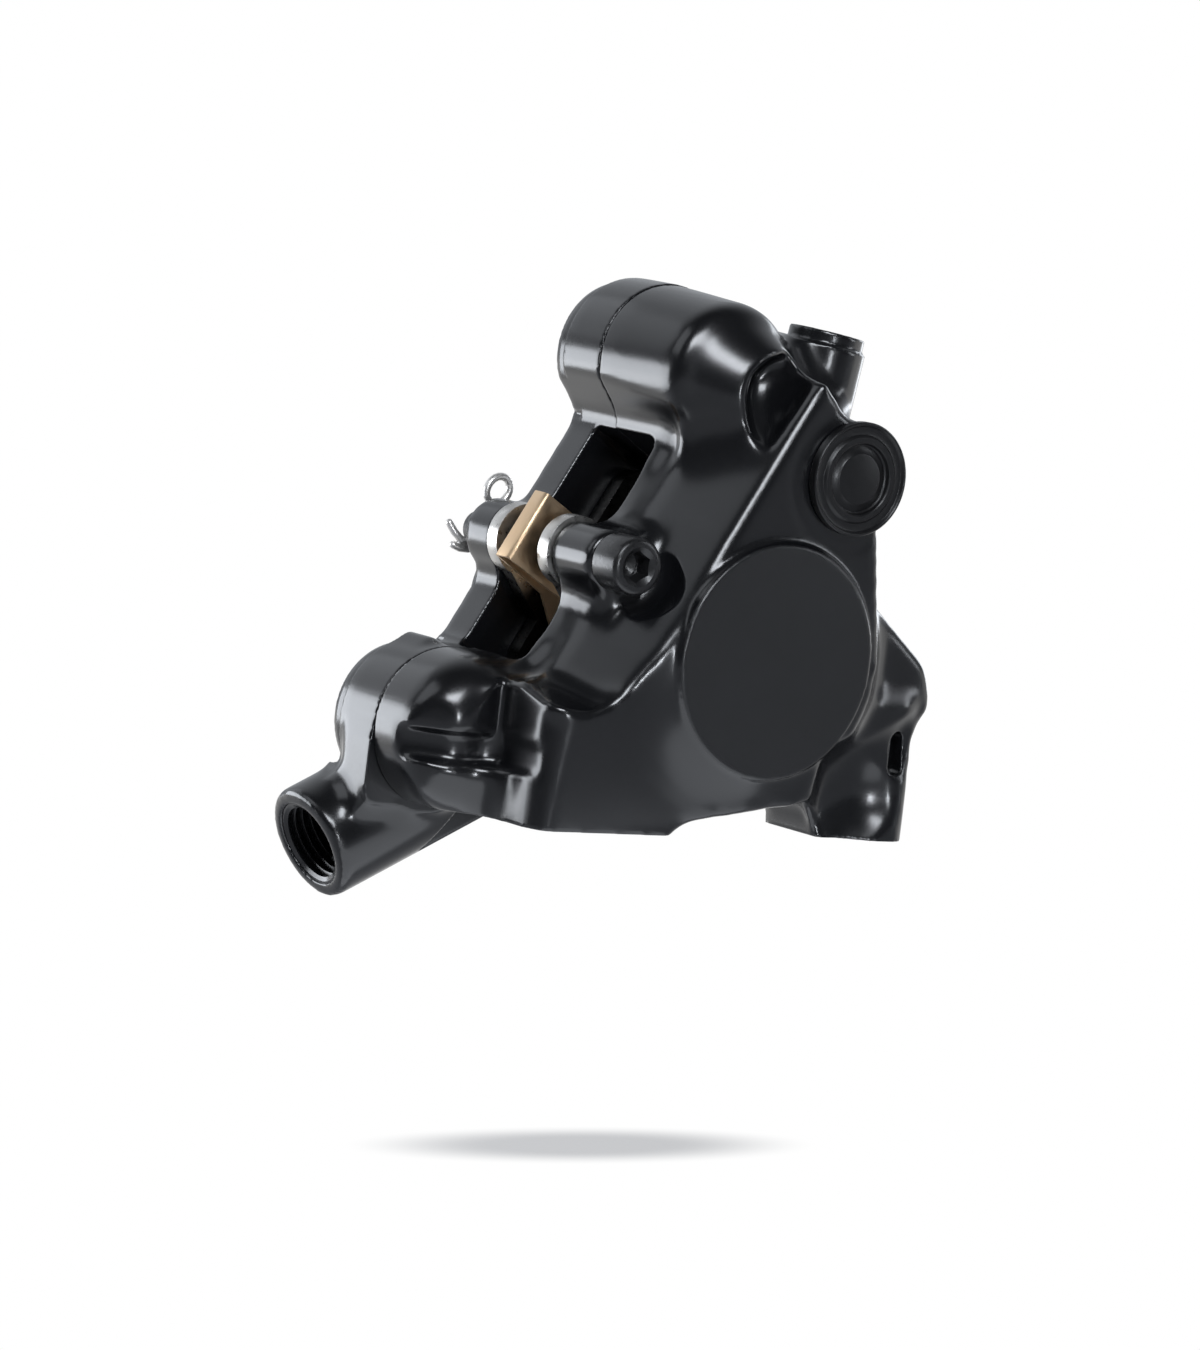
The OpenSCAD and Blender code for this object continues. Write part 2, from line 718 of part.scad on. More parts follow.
module valve_axis() {
  translate([valve_x, valve_y, valve_z]) rotate([0, valve_tilt, 0]) children();
}

module outer_body_half() {
  color(body_tint) difference() {
    union() {
      outer_wall();
      outer_feet();
      outer_lobes();
      valve_axis() translate([0, 0, -valve_boss_len]) cylinder(r = valve_boss_r, h = valve_boss_len);
    }
    slab(parting, parting + 2 * over);
    at_xz(piston_at) {
      y_cyl(bore_r, bore_end, wall_out + over);
      y_cyl(groove_r, wall_out - seal_inset - seal_w - seal_fit, wall_out - seal_inset + seal_fit);
    }
    at_xz(axle_at) {
      y_cyl(axle_r + axle_fit, face_y, wall_out + over);
      y_cyl(scoop_r, face_y - over, boss_end);
    }
    foot_slot();
    wing_hollow();
    for (x = [left_bolt, right_bolt])
      translate([x, 0, -over]) cylinder(r = mount_hole_r, h = mount_hole_depth + over);
    for (p = [upper_bolt, lower_bolt])
      at_xz(p) y_cyl(bolt_r + bolt_fit, parting - bolt_reach - bolt_fit, parting + over);
    at_xz(passage_at) y_cyl(passage_r, parting - bolt_reach / 2, parting + over);
    at_xz(bleed_at) {
      y_cyl(bleed_pocket_r, bleed_seat - over, nipple_seat);
      y_cyl(nipple_r + bolt_fit, bleed_seat, nipple_seat + nipple_len + bolt_fit);
    }
    valve_axis() {
      translate([0, 0, -valve_head_len - pad_play])
        cylinder(r = valve_head_r + valve_fit, h = valve_head_len + over);
      translate([0, 0, -valve_head_len - valve_stem_len - over])
        cylinder(r = valve_stem_r + valve_fit, h = valve_stem_len + over);
    }
  }
}

// Flange that links the inner half's lobes round its pad wall
module inner_flange() {
  difference() {
    union() {
      difference() {
        union() {
          along_y(wall_in - over, flange_back + over)
            link2d(piston_at, flange_r, upper_lobe, lobe_r - lobe_step);
          along_y(wall_in - over, flange_back + over)
            link2d(piston_at, flange_r, lower_lobe, lobe_r - lobe_step);
        }
        pad_frame() along_y(wall_in - 2 * over, flange_back + 2 * over)
          polygon([[-strip_half, strip_v - over], [strip_half, strip_v - over], [strip_half, strip_v + lobe_r],
                   [-strip_half, strip_v + lobe_r]]);
      }
      pad_frame() along_y(wall_in - over, flange_back + over)
        polygon([[-lobe_u, strip_v], [lobe_u, strip_v], [lobe_u, flange_r - over],
                 [-lobe_u, flange_r - over]]);
      at_xz(axle_at) y_cyl(inner_boss_r, wall_in - over, wall_in + inner_boss_len);
    }
    slab(parting, wall_in);
  }
}

module inner_lobes() {
  for (p = [upper_lobe, lower_lobe])
    at_xz(p) difference() {
      y_cyl(lobe_r, parting - over, flange_back + over);
      about_y() translate([lobe_r - lobe_groove, flange_back - lobe_cap - lobe_groove])
        square([over, lobe_groove]);
    }
  for (side = [-1, 1])
    lobe_neck(side, parting - over, wall_in + over);
}

module inner_body_half() {
  color(body_tint) difference() {
    union() {
      difference() {
        union() {
          inner_flange();
          inner_lobes();
        }
        slab(parting - 2 * over, parting);
        slab(flange_back, flange_back + 2 * over);
      }
      at_xz(piston_at)
        round_back(inner_cylinder_r, wall_in + over, 2 * rotor_y - face_y, cap_round);
      translate([lower_lobe.x - lobe_r - rib_proud, parting, hose_z + hose_tube_r])
        cube([rib_len, rib_w, rib_z - hose_z - hose_tube_r]);
      hose_axis() {
        translate([0, 0, -hose_tube_len]) cylinder(r = hose_tube_r, h = hose_tube_len);
        translate([0, 0, -hose_tube_len]) sphere(r = hose_tube_r);
      }
    }
    other_side() at_xz(piston_at) {
      y_cyl(bore_r, bore_end, wall_out + over);
      y_cyl(groove_r, wall_out - seal_inset - seal_w - seal_fit, wall_out - seal_inset + seal_fit);
    }
    at_xz(axle_at) y_cyl(axle_r + axle_fit, wall_in - over, flange_back + over);
    for (p = [upper_bolt, lower_bolt])
      at_xz(p) {
        y_cyl(bolt_r + bolt_fit, parting - over, flange_back);
        y_cyl(bolt_head_r + bolt_fit, flange_back - bolt_head_len, hose_y + hose_tube_r + over);
      }
    at_xz(passage_at) {
      y_cyl(passage_r, parting - over, parting + bolt_reach / 2);
      y_cyl(passage_ring_r + passage_ring_t + seal_fit, parting - over, parting + 2 * passage_ring_t);
    }
    hose_axis() {
      translate([0, 0, -hose_bore_depth]) cylinder(r = hose_bore_r, h = hose_bore_depth + over);
      translate([0, 0, -hose_chamfer])
        cylinder(r1 = hose_bore_r, r2 = hose_bore_r + 2 * hose_chamfer, h = 2 * hose_chamfer);
    }
  }
}

module hose_axis() {
  translate([hose_x, hose_y, hose_z]) rotate([0, -90 - hose_dip, 0]) children();
}

module bridge_bolt(p) {
  head_y = flange_back - bolt_head_len;
  color(steel_tint) at_xz(p) difference() {
    union() {
      y_cyl(bolt_r, parting - bolt_reach, head_y + over);
      y_cyl(bolt_head_r, head_y, flange_back);
    }
    translate([0, flange_back + over, 0]) rotate([90, 0, 0]) hex_key(bolt_key, bolt_key_depth + over);
  }
}

module upper_bridge_bolt() {
  bridge_bolt(upper_bolt);
}

module lower_bridge_bolt() {
  bridge_bolt(lower_bolt);
}

module passage_seal() {
  color(dark_tint) at_xz(passage_at) translate([0, parting + passage_ring_t, 0])
    about_y() translate([passage_ring_r, 0]) circle(passage_ring_t);
}

module outer_piston() {
  color("#d8d4c8") at_xz(piston_at) difference() {
    y_cyl(piston_r, nose_y - piston_len, nose_y);
    y_cyl(piston_r - piston_wall, nose_y - piston_len + piston_floor, nose_y + over);
  }
}

module inner_piston() {
  other_side() outer_piston();
}

module outer_piston_seal() {
  color(dark_tint) at_xz(piston_at) difference() {
    y_cyl(groove_r - seal_fit, wall_out - seal_inset - seal_w, wall_out - seal_inset);
    y_cyl(bore_r, wall_out - seal_inset - seal_w - over, wall_out - seal_inset + over);
  }
}

module inner_piston_seal() {
  other_side() outer_piston_seal();
}

// Backing plate with its ear round the axle
module outer_pad_plate() {
  root = ear_root / 2;
  shoulder = ear_r - ear_inset;
  color(steel_tint) pad_frame() difference() {
    union() {
      along_y(plate_y, lining_y)
        round_rect([-plate_w / 2, -plate_bottom], [plate_w / 2, plate_top], plate_round);
      along_y(plate_y, lining_y)
        polygon([[axle_u - root, plate_top - over], [axle_u - shoulder, axle_v],
                 [axle_u + shoulder, axle_v], [axle_u + root, plate_top - over]]);
      translate([axle_u, 0, axle_v]) y_cyl(ear_r, plate_y, lining_y);
    }
    translate([axle_u, 0, axle_v]) y_cyl(axle_r + axle_fit, plate_y - over, lining_y + over);
  }
}

module inner_pad_plate() {
  other_side() outer_pad_plate();
}

module outer_pad_lining() {
  color("#5b5650") pad_frame() difference() {
    along_y(lining_y, lining_y + lining_t)
      round_rect([-lining_w / 2, -lining_bottom], [lining_w / 2, lining_top], lining_round);
    along_y(lining_y + lining_t - lining_groove_depth, lining_y + lining_t + over)
      translate([-lining_groove / 2, -lining_bottom - over])
        square([lining_groove, lining_bottom + lining_top + 2 * over]);
  }
}

module inner_pad_lining() {
  other_side() outer_pad_lining();
}

// Half section of the spring sheet, from the saddle down one flank to a leaf's foot
module spring_side2d() {
  top = axle_v + saddle_h;
  bend = axle_v - flank_bend;
  foot = lining_top + leaf_clear;
  foot_y = rotor_y - (lining_y + leaf_gap);
  edge = saddle_w / 2;
  knee = edge + flank_out;
  polygon([[0, top], [edge, top], [knee, bend], [foot_y, foot], [foot_y - spring_t, foot],
           [knee - spring_t, bend - spring_t / 2], [edge - spring_t, top - spring_t], [0, top - spring_t]]);
}

// Bronze spring that straddles the axle and pushes the two plates apart
module pad_spring() {
  waist = saddle_len / 2;
  foot = lining_top + leaf_clear;
  color("#a88a58") pad_frame() difference() {
    intersection() {
      for (side = [0, 1])
        translate([0, rotor_y, 0]) mirror([0, side, 0]) along_x(axle_u - leaf_w, axle_u + leaf_w)
          spring_side2d();
      along_y(wall_out, wall_in)
        polygon([[axle_u - waist, axle_v + saddle_h + over], [axle_u + waist, axle_v + saddle_h + over],
                 [axle_u + waist, axle_v - flank_bend], [axle_u + leaf_w / 2, foot - over],
                 [axle_u - leaf_w / 2, foot - over], [axle_u - waist, axle_v - flank_bend]]);
    }
    translate([axle_u, 0, axle_v]) y_cyl(axle_r + axle_fit, wall_out, wall_in);
  }
}

// Axle with a hex socket in its head and a cross hole for the clip
module pad_axle() {
  tip = flange_back + axle_tip;
  color(dark_tint) at_xz(axle_at) difference() {
    union() {
      y_cyl(axle_r, boss_end - over, tip);
      round_nose(axle_head_r, boss_end - axle_head_len, boss_end, axle_head_round);
    }
    translate([0, boss_end - axle_head_len + axle_key_depth, 0]) rotate([90, 0, 0])
      hex_key(axle_key, axle_key_depth + over);
    clip_axis() translate([0, 0, -axle_r - over]) cylinder(r = stem_r + axle_fit, h = 2 * (axle_r + over));
  }
}

module clip_axis() {
  translate([0, flange_back + axle_tip / 2, 0]) rotate([0, 90 - clip_turn, 0]) children();
}

// Split pin with an eye on one side of the axle and two bent legs on the other
module pad_axle_clip() {
  eye = clip_eye_r + wire_r;
  neck = axle_r + wire_r;
  color(steel_tint) at_xz(axle_at) clip_axis() {
    translate([0, 0, neck + eye]) rotate([90, 0, 0]) rotate_extrude()
      translate([eye, 0]) circle(wire_r);
    translate([0, 0, -neck]) cylinder(r = stem_r, h = 2 * neck + wire_r);
    for (side = [-1, 1])
      translate([side * wire_r, 0, -neck + wire_r]) rotate([0, 180 - side * clip_spread, 0])
        cylinder(r = wire_r, h = clip_leg);
  }
}

module bleed_nipple() {
  color(steel_tint) at_xz(bleed_at) difference() {
    union() {
      y_cyl(nipple_r, nipple_seat - over, nipple_seat + nipple_len);
      translate([0, nipple_seat, 0]) rotate([90, 0, 0])
        hex_key(nipple_key, bleed_pocket_depth - bleed_plug - pad_play);
    }
    y_cyl(nipple_r / 2, bleed_seat, nipple_seat + nipple_len + over);
  }
}

// Rubber cap with a raised ring round a dished middle
module bleed_cap() {
  color(dark_tint) at_xz(bleed_at) about_y() difference() {
    union() {
      translate([0, cap_y]) square([bleed_cap_r, bleed_cap_t]);
      translate([0, cap_y]) square([bleed_pocket_r - seal_fit, bleed_cap_t + bleed_plug]);
    }
    translate([cap_disc_r, cap_y - over]) square([cap_ring_in - cap_disc_r, over + cap_relief]);
    translate([cap_ring_out, cap_y - over]) square([bleed_cap_r, over + cap_relief]);
  }
}

module valve_screw() {
  slot = valve_ring_t + seal_fit;
  color(dark_tint) valve_axis() difference() {
    union() {
      translate([0, 0, -valve_head_len]) cylinder(r = valve_head_r, h = valve_head_len - valve_sink);
      translate([0, 0, -valve_head_len - valve_stem_len])
        cylinder(r = valve_stem_r, h = valve_stem_len + over);
    }
    translate([0, 0, valve_key_floor - valve_head_len]) hex_key(valve_key, valve_head_len);
    translate([0, 0, valve_ring_at]) rotate_extrude()
      translate([valve_ring_r - slot, -slot]) square([over, 2 * slot]);
  }
}

module valve_ring() {
  color(dark_tint) valve_axis() translate([0, 0, valve_ring_at])
    rotate_extrude() translate([valve_ring_r, 0]) circle(valve_ring_t);
}

outer_body_half();
inner_body_half();
upper_bridge_bolt();
lower_bridge_bolt();
passage_seal();
outer_piston();
inner_piston();
outer_piston_seal();
inner_piston_seal();
outer_pad_plate();
inner_pad_plate();
outer_pad_lining();
inner_pad_lining();
pad_spring();
pad_axle();
pad_axle_clip();
bleed_nipple();
bleed_cap();
valve_screw();
valve_ring();
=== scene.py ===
import math
import bpy
from mathutils import Matrix, Vector


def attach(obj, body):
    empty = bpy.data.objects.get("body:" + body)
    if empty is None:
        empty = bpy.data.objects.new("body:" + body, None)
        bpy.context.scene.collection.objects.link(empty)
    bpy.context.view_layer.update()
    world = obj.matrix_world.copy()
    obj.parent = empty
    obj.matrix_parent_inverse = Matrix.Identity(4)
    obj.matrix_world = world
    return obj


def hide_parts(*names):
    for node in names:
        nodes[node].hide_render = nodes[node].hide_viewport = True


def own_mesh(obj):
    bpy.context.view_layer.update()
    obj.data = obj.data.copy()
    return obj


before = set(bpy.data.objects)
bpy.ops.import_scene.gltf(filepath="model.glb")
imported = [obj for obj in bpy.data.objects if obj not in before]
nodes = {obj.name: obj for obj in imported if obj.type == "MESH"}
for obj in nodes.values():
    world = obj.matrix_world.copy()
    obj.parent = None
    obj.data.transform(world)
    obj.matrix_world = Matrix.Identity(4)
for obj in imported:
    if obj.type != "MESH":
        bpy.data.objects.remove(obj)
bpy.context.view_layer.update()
mm = 0.001
# what counts as one way, one level and one point; lengths here in metres
tolerance = {"way": 0.999, "level": 2e-5, "point": 1e-7, "solidPoint": 1e-6}
print("frame loaded:", len(nodes), "nodes")

# the pads lean 60 degrees, so most places are given along (u) and off (v) the pad window
pads = {"x": 0.5, "z": 19.4, "lean": math.radians(60)}
stations = {"wall": 5.3, "parting": 12.8, "innerWall": 16.7, "rotor": 11.0}


def padXZ(u, v):
    c, s = math.cos(pads["lean"]), math.sin(pads["lean"])
    return pads["x"] + u * c - v * s, pads["z"] + u * s + v * c


def padPoint(u, v, y):
    x, z = padXZ(u, v)
    return Vector((x, y, z))


def freshStart():
    if bpy.context.object and bpy.context.object.mode != "OBJECT":
        bpy.ops.object.mode_set(mode="OBJECT")
    bpy.ops.object.select_all(action="DESELECT")


def pick(obj, *others):
    freshStart()
    for o in (obj, *others):
        o.select_set(True)
    bpy.context.view_layer.objects.active = obj
    return obj


def settle(name):
    obj = bpy.context.object
    obj.name = name
    bpy.ops.object.transform_apply(location=True, rotation=True, scale=True)
    return obj


def useModifier(obj, kind, **settings):
    pick(obj)
    mod = obj.modifiers.new(kind.lower(), kind)
    for key, value in settings.items():
        setattr(mod, key, value)
    bpy.ops.object.modifier_apply(modifier=mod.name)
    return obj


# blanks and cutters, all sizes in millimetres
def addDrum(name, xz, radius, y0, y1, front=None, sides=80):
    freshStart()
    bpy.ops.mesh.primitive_cone_add(
        vertices=sides, radius1=radius * mm, radius2=(radius if front is None else front) * mm,
        depth=(y1 - y0) * mm, location=Vector((xz[0], (y0 + y1) / 2, xz[1])) * mm,
        rotation=(math.pi / 2, 0, 0))
    return settle(name)


def addRod(name, start, end, radius, sides=80):
    start, end = Vector(start), Vector(end)
    freshStart()
    bpy.ops.mesh.primitive_cone_add(
        vertices=sides, radius1=radius * mm, radius2=radius * mm,
        depth=(end - start).length * mm, location=(start + end) / 2 * mm,
        rotation=(end - start).to_track_quat("Z", "Y").to_euler())
    return settle(name)


def addBall(name, point, radius):
    freshStart()
    bpy.ops.mesh.primitive_uv_sphere_add(
        segments=48, ring_count=24, radius=radius * mm, location=Vector(point) * mm)
    return settle(name)


def addBlock(name, low, high, lean=False):
    low, high = Vector(low), Vector(high)
    freshStart()
    bpy.ops.mesh.primitive_cube_add(size=1)
    obj = bpy.context.object
    size, middle = (high - low) * mm, (high + low) / 2 * mm
    shape = Matrix.Translation(middle) @ Matrix.Diagonal((*size, 1))
    if lean:  # u, y, v in the pads' own frame
        turn = Matrix.Rotation(-pads["lean"], 4, "Y")
        shape = Matrix.Translation(Vector((pads["x"], 0, pads["z"])) * mm) @ turn @ shape
    obj.matrix_world = shape
    return settle(name)


def addPrism(name, corners, run):
    # a flat face over its corners, drawn out along one direction
    freshStart()
    bpy.ops.mesh.primitive_circle_add(vertices=len(corners), radius=mm, fill_type="NGON")
    obj = bpy.context.object
    for vertex, corner in zip(obj.data.vertices, corners):
        vertex.co = corner * mm
    bpy.ops.object.mode_set(mode="EDIT")
    bpy.ops.mesh.select_all(action="SELECT")
    bpy.ops.mesh.extrude_region_move(TRANSFORM_OT_translate={"value": run * mm})
    bpy.ops.mesh.select_all(action="SELECT")
    bpy.ops.mesh.normals_make_consistent(inside=False)
    bpy.ops.object.mode_set(mode="OBJECT")
    return settle(name)


def addPlate(name, outline, y0, y1):
    return addPrism(name, [Vector((x, y0, z)) for x, z in outline], Vector((0, y1 - y0, 0)))


def addColumn(name, outline, z0, z1):
    # an upright block over a plan of (x, y) points
    column = addPlate(name, [(x, -y) for x, y in outline], z0, z1)
    column.rotation_euler = (math.pi / 2, 0, 0)
    return settle(name)


def addTurned(name, profile, start=(0, 0, 0), axis=(0, 1, 0), sides=144):
    # a closed half section of (radius, height) points, swept round an axis
    freshStart()
    bpy.ops.mesh.primitive_circle_add(vertices=len(profile), radius=mm, fill_type="NOTHING")
    obj = bpy.context.object
    for vertex, (radius, height) in zip(obj.data.vertices, profile):
        vertex.co = Vector((radius, 0, height)) * mm
    useModifier(obj, "SCREW", steps=sides, render_steps=sides, use_merge_vertices=True,
                merge_threshold=tolerance["point"])
    bpy.ops.object.mode_set(mode="EDIT")
    bpy.ops.mesh.select_all(action="SELECT")
    bpy.ops.mesh.remove_doubles(threshold=tolerance["point"])
    bpy.ops.mesh.delete_loose()
    bpy.ops.mesh.select_all(action="SELECT")
    bpy.ops.mesh.normals_make_consistent(inside=False)
    bpy.ops.object.mode_set(mode="OBJECT")
    turn = Vector(axis).to_track_quat("Z", "Y").to_matrix().to_4x4()
    obj.matrix_world = Matrix.Translation(Vector(start) * mm) @ turn
    return settle(name)


def addWrap(name, *parts):
    pick(*parts)
    if len(parts) > 1:
        bpy.ops.object.join()
    bpy.ops.object.mode_set(mode="EDIT")
    bpy.ops.mesh.select_all(action="SELECT")
    bpy.ops.mesh.convex_hull()
    bpy.ops.object.mode_set(mode="OBJECT")
    return settle(name)


def addSheet(name, outline, u0, u1):
    # a section of (y, v) points, drawn out along the pad window
    return addPrism(name, [padPoint(u0, v, y) for y, v in outline], padPoint(u1, 0, 0) - padPoint(u0, 0, 0))


def addWire(name, points, radius, voxel):
    # round wire along a chain of points
    parts = [addBall("wireJoint", point, radius) for point in points]
    parts += [addRod("wireRun", a, b, radius, sides=32) for a, b in zip(points, points[1:])]
    wire = fuse(name, parts, voxel)
    soften(wire, voxel, voxel)
    pick(wire)
    bpy.ops.object.shade_smooth()
    return wire


def smoothByAngle(obj, angle):
    pick(obj)
    bpy.ops.object.shade_smooth_by_angle(angle=math.radians(angle))
    return obj


def place(obj, body, slot, *nodeNames):
    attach(obj, body)
    if nodeNames:
        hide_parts(*nodeNames)
    return obj


def roundEdges(obj, width, segments=4, angle=30):
    return useModifier(obj, "BEVEL", width=width * mm, segments=segments, limit_method="ANGLE",
                       angle_limit=math.radians(angle))


def breakEdges(obj, width):
    roundEdges(obj, width, 2, 40)
    return smoothByAngle(obj, 30)


def copyNode(name, node):
    freshStart()
    source = nodes[node]
    obj = bpy.data.objects.new(name, source.data.copy())
    bpy.context.scene.collection.objects.link(obj)
    obj.data.materials.clear()
    pick(obj)
    bpy.ops.object.mode_set(mode="EDIT")
    bpy.ops.mesh.select_all(action="SELECT")
    bpy.ops.mesh.remove_doubles(threshold=tolerance["solidPoint"])
    bpy.ops.object.mode_set(mode="OBJECT")
    return obj


def pullFaces(obj, axis, station, way, amount):
    # moves the flat faces that lie at one station and look one way
    pick(obj)
    bpy.ops.object.mode_set(mode="EDIT")
    bpy.ops.mesh.select_all(action="DESELECT")
    bpy.ops.object.mode_set(mode="OBJECT")
    for face in obj.data.polygons:
        level = abs(face.center[axis] - station * mm) < tolerance["level"]
        face.select = level and face.normal[axis] * way > tolerance["way"]
    move = [0, 0, 0]
    move[axis] = way * amount * mm
    bpy.ops.object.mode_set(mode="EDIT")
    bpy.ops.transform.translate(value=move)
    bpy.ops.object.mode_set(mode="OBJECT")


def remesh(obj, voxel):
    return useModifier(obj, "REMESH", mode="VOXEL", voxel_size=voxel * mm, adaptivity=0)


def fuse(name, parts, voxel):
    pick(*parts)
    bpy.ops.object.join()
    return remesh(settle(name), voxel)


def soften(obj, voxel, sigma):
    # one round spreads a point by about half a voxel
    rounds = max(1, round((sigma / voxel) ** 2 * 4))
    return useModifier(obj, "SMOOTH", factor=0.5, iterations=rounds)


def fillCorners(obj, voxel, radius):
    # swells the form, closes what meets, and draws it back, which leaves round inner corners
    for step in (radius, -radius):
        useModifier(obj, "DISPLACE", strength=step * mm, mid_level=0, direction="NORMAL")
        remesh(obj, voxel)
    return obj


def keepInside(obj, other):
    useModifier(obj, "BOOLEAN", operation="INTERSECT", object=other, solver="MANIFOLD")
    bpy.data.objects.remove(other, do_unlink=True)
    return obj


def carve(obj, *cutters):
    for cutter in cutters:
        useModifier(obj, "BOOLEAN", operation="DIFFERENCE", object=cutter, solver="MANIFOLD")
        bpy.data.objects.remove(cutter, do_unlink=True)
    return obj


def finishForging(obj, voxel, sigma, triangles):
    remesh(obj, voxel)
    soften(obj, voxel, sigma)
    useModifier(obj, "TRIANGULATE")
    have = len(obj.data.polygons)
    if have > triangles:
        useModifier(obj, "DECIMATE", ratio=triangles / have)
    pick(obj)
    bpy.ops.object.shade_smooth()
    print(obj.name, have, "->", len(obj.data.polygons), "triangles")
    return obj


far = 60  # well outside the part
places = {
    "piston": (0.5, 19.4), "upperLobe": padXZ(23.4, 17.8), "lowerLobe": padXZ(-23.4, 17.8),
    "upperBolt": padXZ(21.2, 19.0), "lowerBolt": padXZ(-21.2, 19.0), "axle": padXZ(-1, 19.7),
    "bleed": (8.2, 39.5), "leftFoot": (-17, 0), "rightFoot": (17, 0),
}
bores = {"piston": 11.06, "axle": 2.08, "bolt": 2.6, "boltHead": 4.3, "bleed": 4.6, "foot": 2.1}
valve = {"top": Vector((11.4, 3.6, 54)), "tilt": math.radians(8.5), "hole": 3.48, "depth": 3.1}
valve["down"] = -Vector((math.sin(valve["tilt"]), 0, math.cos(valve["tilt"])))
hose = {"mouth": Vector((-37.1, 20, -6.2)), "dip": math.radians(26.8), "bore": 4.75, "depth": 12}
hose["inward"] = Vector((math.cos(hose["dip"]), 0, math.sin(hose["dip"])))


def axisPoint(xz, y=0):
    return Vector((xz[0], y, xz[1]))


outerHalf = {
    "voxel": 0.34, "fill": 3.0, "soft": 0.6, "mid": 0.27, "midSoft": 0.34, "fine": 0.19, "edge": 0.15,
    "triangles": 195000, "pull": 2.0, "plugGap": 0.3,
    # each plug has its radius and the ends that the solid doesn't give
    "pistonPlug": (13.6, -6.5), "axlePlug": (2.7, -1.4), "boltPlug": (3.2, 5.8), "bleedPlug": (5.4, -8.1, 1.2),
    "valvePlug": (3.9, 0.05, 13), "footPlug": (2.6, -1.8, 10.6),
    "stripV": 18.4, "windowEnd": 14.4, "windowRound": 1.1, "windowDeep": 9, "wallV": 9.5, "neck": (3.4, 4.6, 7, 1.3),
    "flank": [(15.5, 18.7), (18.9, 27.6), (9, 27.6), (9, 18.7)], "flankFrom": 0.5, "flankTo": 30,
    "noseFlat": 3.7, "noseRound": 5.0, "noseFront": 3.0, "noseOver": (0.9, 1.5),
    "noseSpare": ((-25.6, -30, -5), (10, 20, 13.6)), "noseTop": 15.2,
    "nosePlan": [(-40, 11.8), (-31.8, 3.6), (-31.2, 3.24), (-30.4, 3.05), (-29.5, 2.98), (-27.4, 3.0),
                 (-26.6, 3.2), (-25.7, 3.8), (-25.7, -5), (-40, -5)],
    "groovePlan": [(-40, 13.4), (-31.3, 4.7), (-30.5, 4.3), (-29.5, 4.1), (-27.2, 4.0), (-25.4, 2.8),
                   (-25.4, -5), (-40, -5)],
    "grooveZ": (5.5, 8.75),
    "flare": [(12.9, -9.2), (14, -8.45), (15.5, -8.1), (18, -7.9), (24, -7.8), (40, -7.8), (40, -13), (12.9, -13)],
    "flareTip": math.radians(4.5), "discTrim": (15.2, -12, -8.0), "discTip": math.radians(-4.4), "discLap": 0.02,
    "disc": (12.7, -8.95, -4.0),
    "pocketRim": [(17.3, 13.8, -6.6), (18.5, 14.71, -4.2), (20.4, 15.4, -2.5), (22.4, 15.95, -1.0),
                  (24.7, 16.2, -0.3), (26.8, 15.99, -0.9), (28.4, 15.4, -2.4), (28.3, 14.55, -4.6),
                  (27, 13.6, -7.05), (22, 13.68, -6.85)],
    "pocketRings": [(0.2, -1.5, 0), (0.55, -1.35, 0), (0.85, -0.7, 0), (1.0, 0.1, 0), (1.0, 0, 6)],
    "pocketDraw": Vector((-0.593, -0.799, 0.104)), "roofNormal": Vector((-0.807, -0.3625, 0.466)),
    "skirtCorner": (-25.9, -6.7, 4.4), "cornerOver": 4, "cornerTop": 13,
    "bossRing": [(6.0, -8.6), (6.25, -8.05), (6.6, -7.6), (7.0, -7.25), (7.4, -7.3), (7.8, -7.7), (8.1, -8.6)],
    "fillets": [((8.5, -6.3, 12.5), (19.5, 1.2, 23), 6.5), ((-26, -9.3, -13), (-2, -3, 11), 6.5)],
    "filletSoft": 1.0,
    "scoopFill": [(-7.7, 12.87), (0.8, 17.57), (4.2, 18.2), (4.2, 10), (-7.7, 10)], "scoopReach": (-9.0, 7.5),
    "roofTrim": [(-7.6, 12.92), (-1.7, 16.19), (-1.7, 27), (-7.6, 27)], "roofReach": (-8.5, 7.0),
    "scoop": (6.2, -1.7, 2.6), "headRoom": (3.35, -1.6), "slot": (21.25, 0.95, 8.15, 10.95, -2.8),
    "valveBoss": 4.55, "bossDeep": 11, "valveStep": [(4.15, -1.5), (6, -1.5), (6, 1.5), (4.15, 1.5)],
    "boreFloor": -6.3, "boltFloor": 6.3, "bleedFloor": -4, "footDeep": 10, "bossOver": 2, "bossLap": 0.02,
}


def quarterTurn(steps=10):
    return [math.radians(90 / steps * i) for i in range(steps + 1)]


def makeNoseTrim(p):
    # takes the lower nose down to a rounder end, but spares the wall beside it
    flat, big, front = p["noseFlat"], p["noseRound"], p["noseFront"]
    wide, ahead = p["noseOver"]
    edge = flat + big + wide
    arc = [(flat + big * math.sin(t), front + big - big * math.cos(t)) for t in quarterTurn()]
    trim = addTurned("noseTrim", arc + [(edge, front + big), (edge, front - ahead), (flat, front - ahead)],
                     axisPoint(places["lowerLobe"]))
    return carve(trim, addBlock("skirtKeep", *p["noseSpare"]))


def makePocketCut(p):
    # shallow teardrop dish between the upper head and the front crease
    rim = [padPoint(*spot) for spot in p["pocketRim"]]
    middle = sum(rim, Vector()) / len(rim)
    freshStart()
    bpy.ops.mesh.primitive_circle_add(vertices=len(rim) * len(p["pocketRings"]), radius=mm)
    dish = bpy.context.object
    spots = [middle + (point - middle) * scale + p["roofNormal"] * height + p["pocketDraw"] * out
             for scale, height, out in p["pocketRings"] for point in rim]
    for vertex, spot in zip(dish.data.vertices, spots):
        vertex.co = spot * mm
    return addWrap("pocketCut", dish)


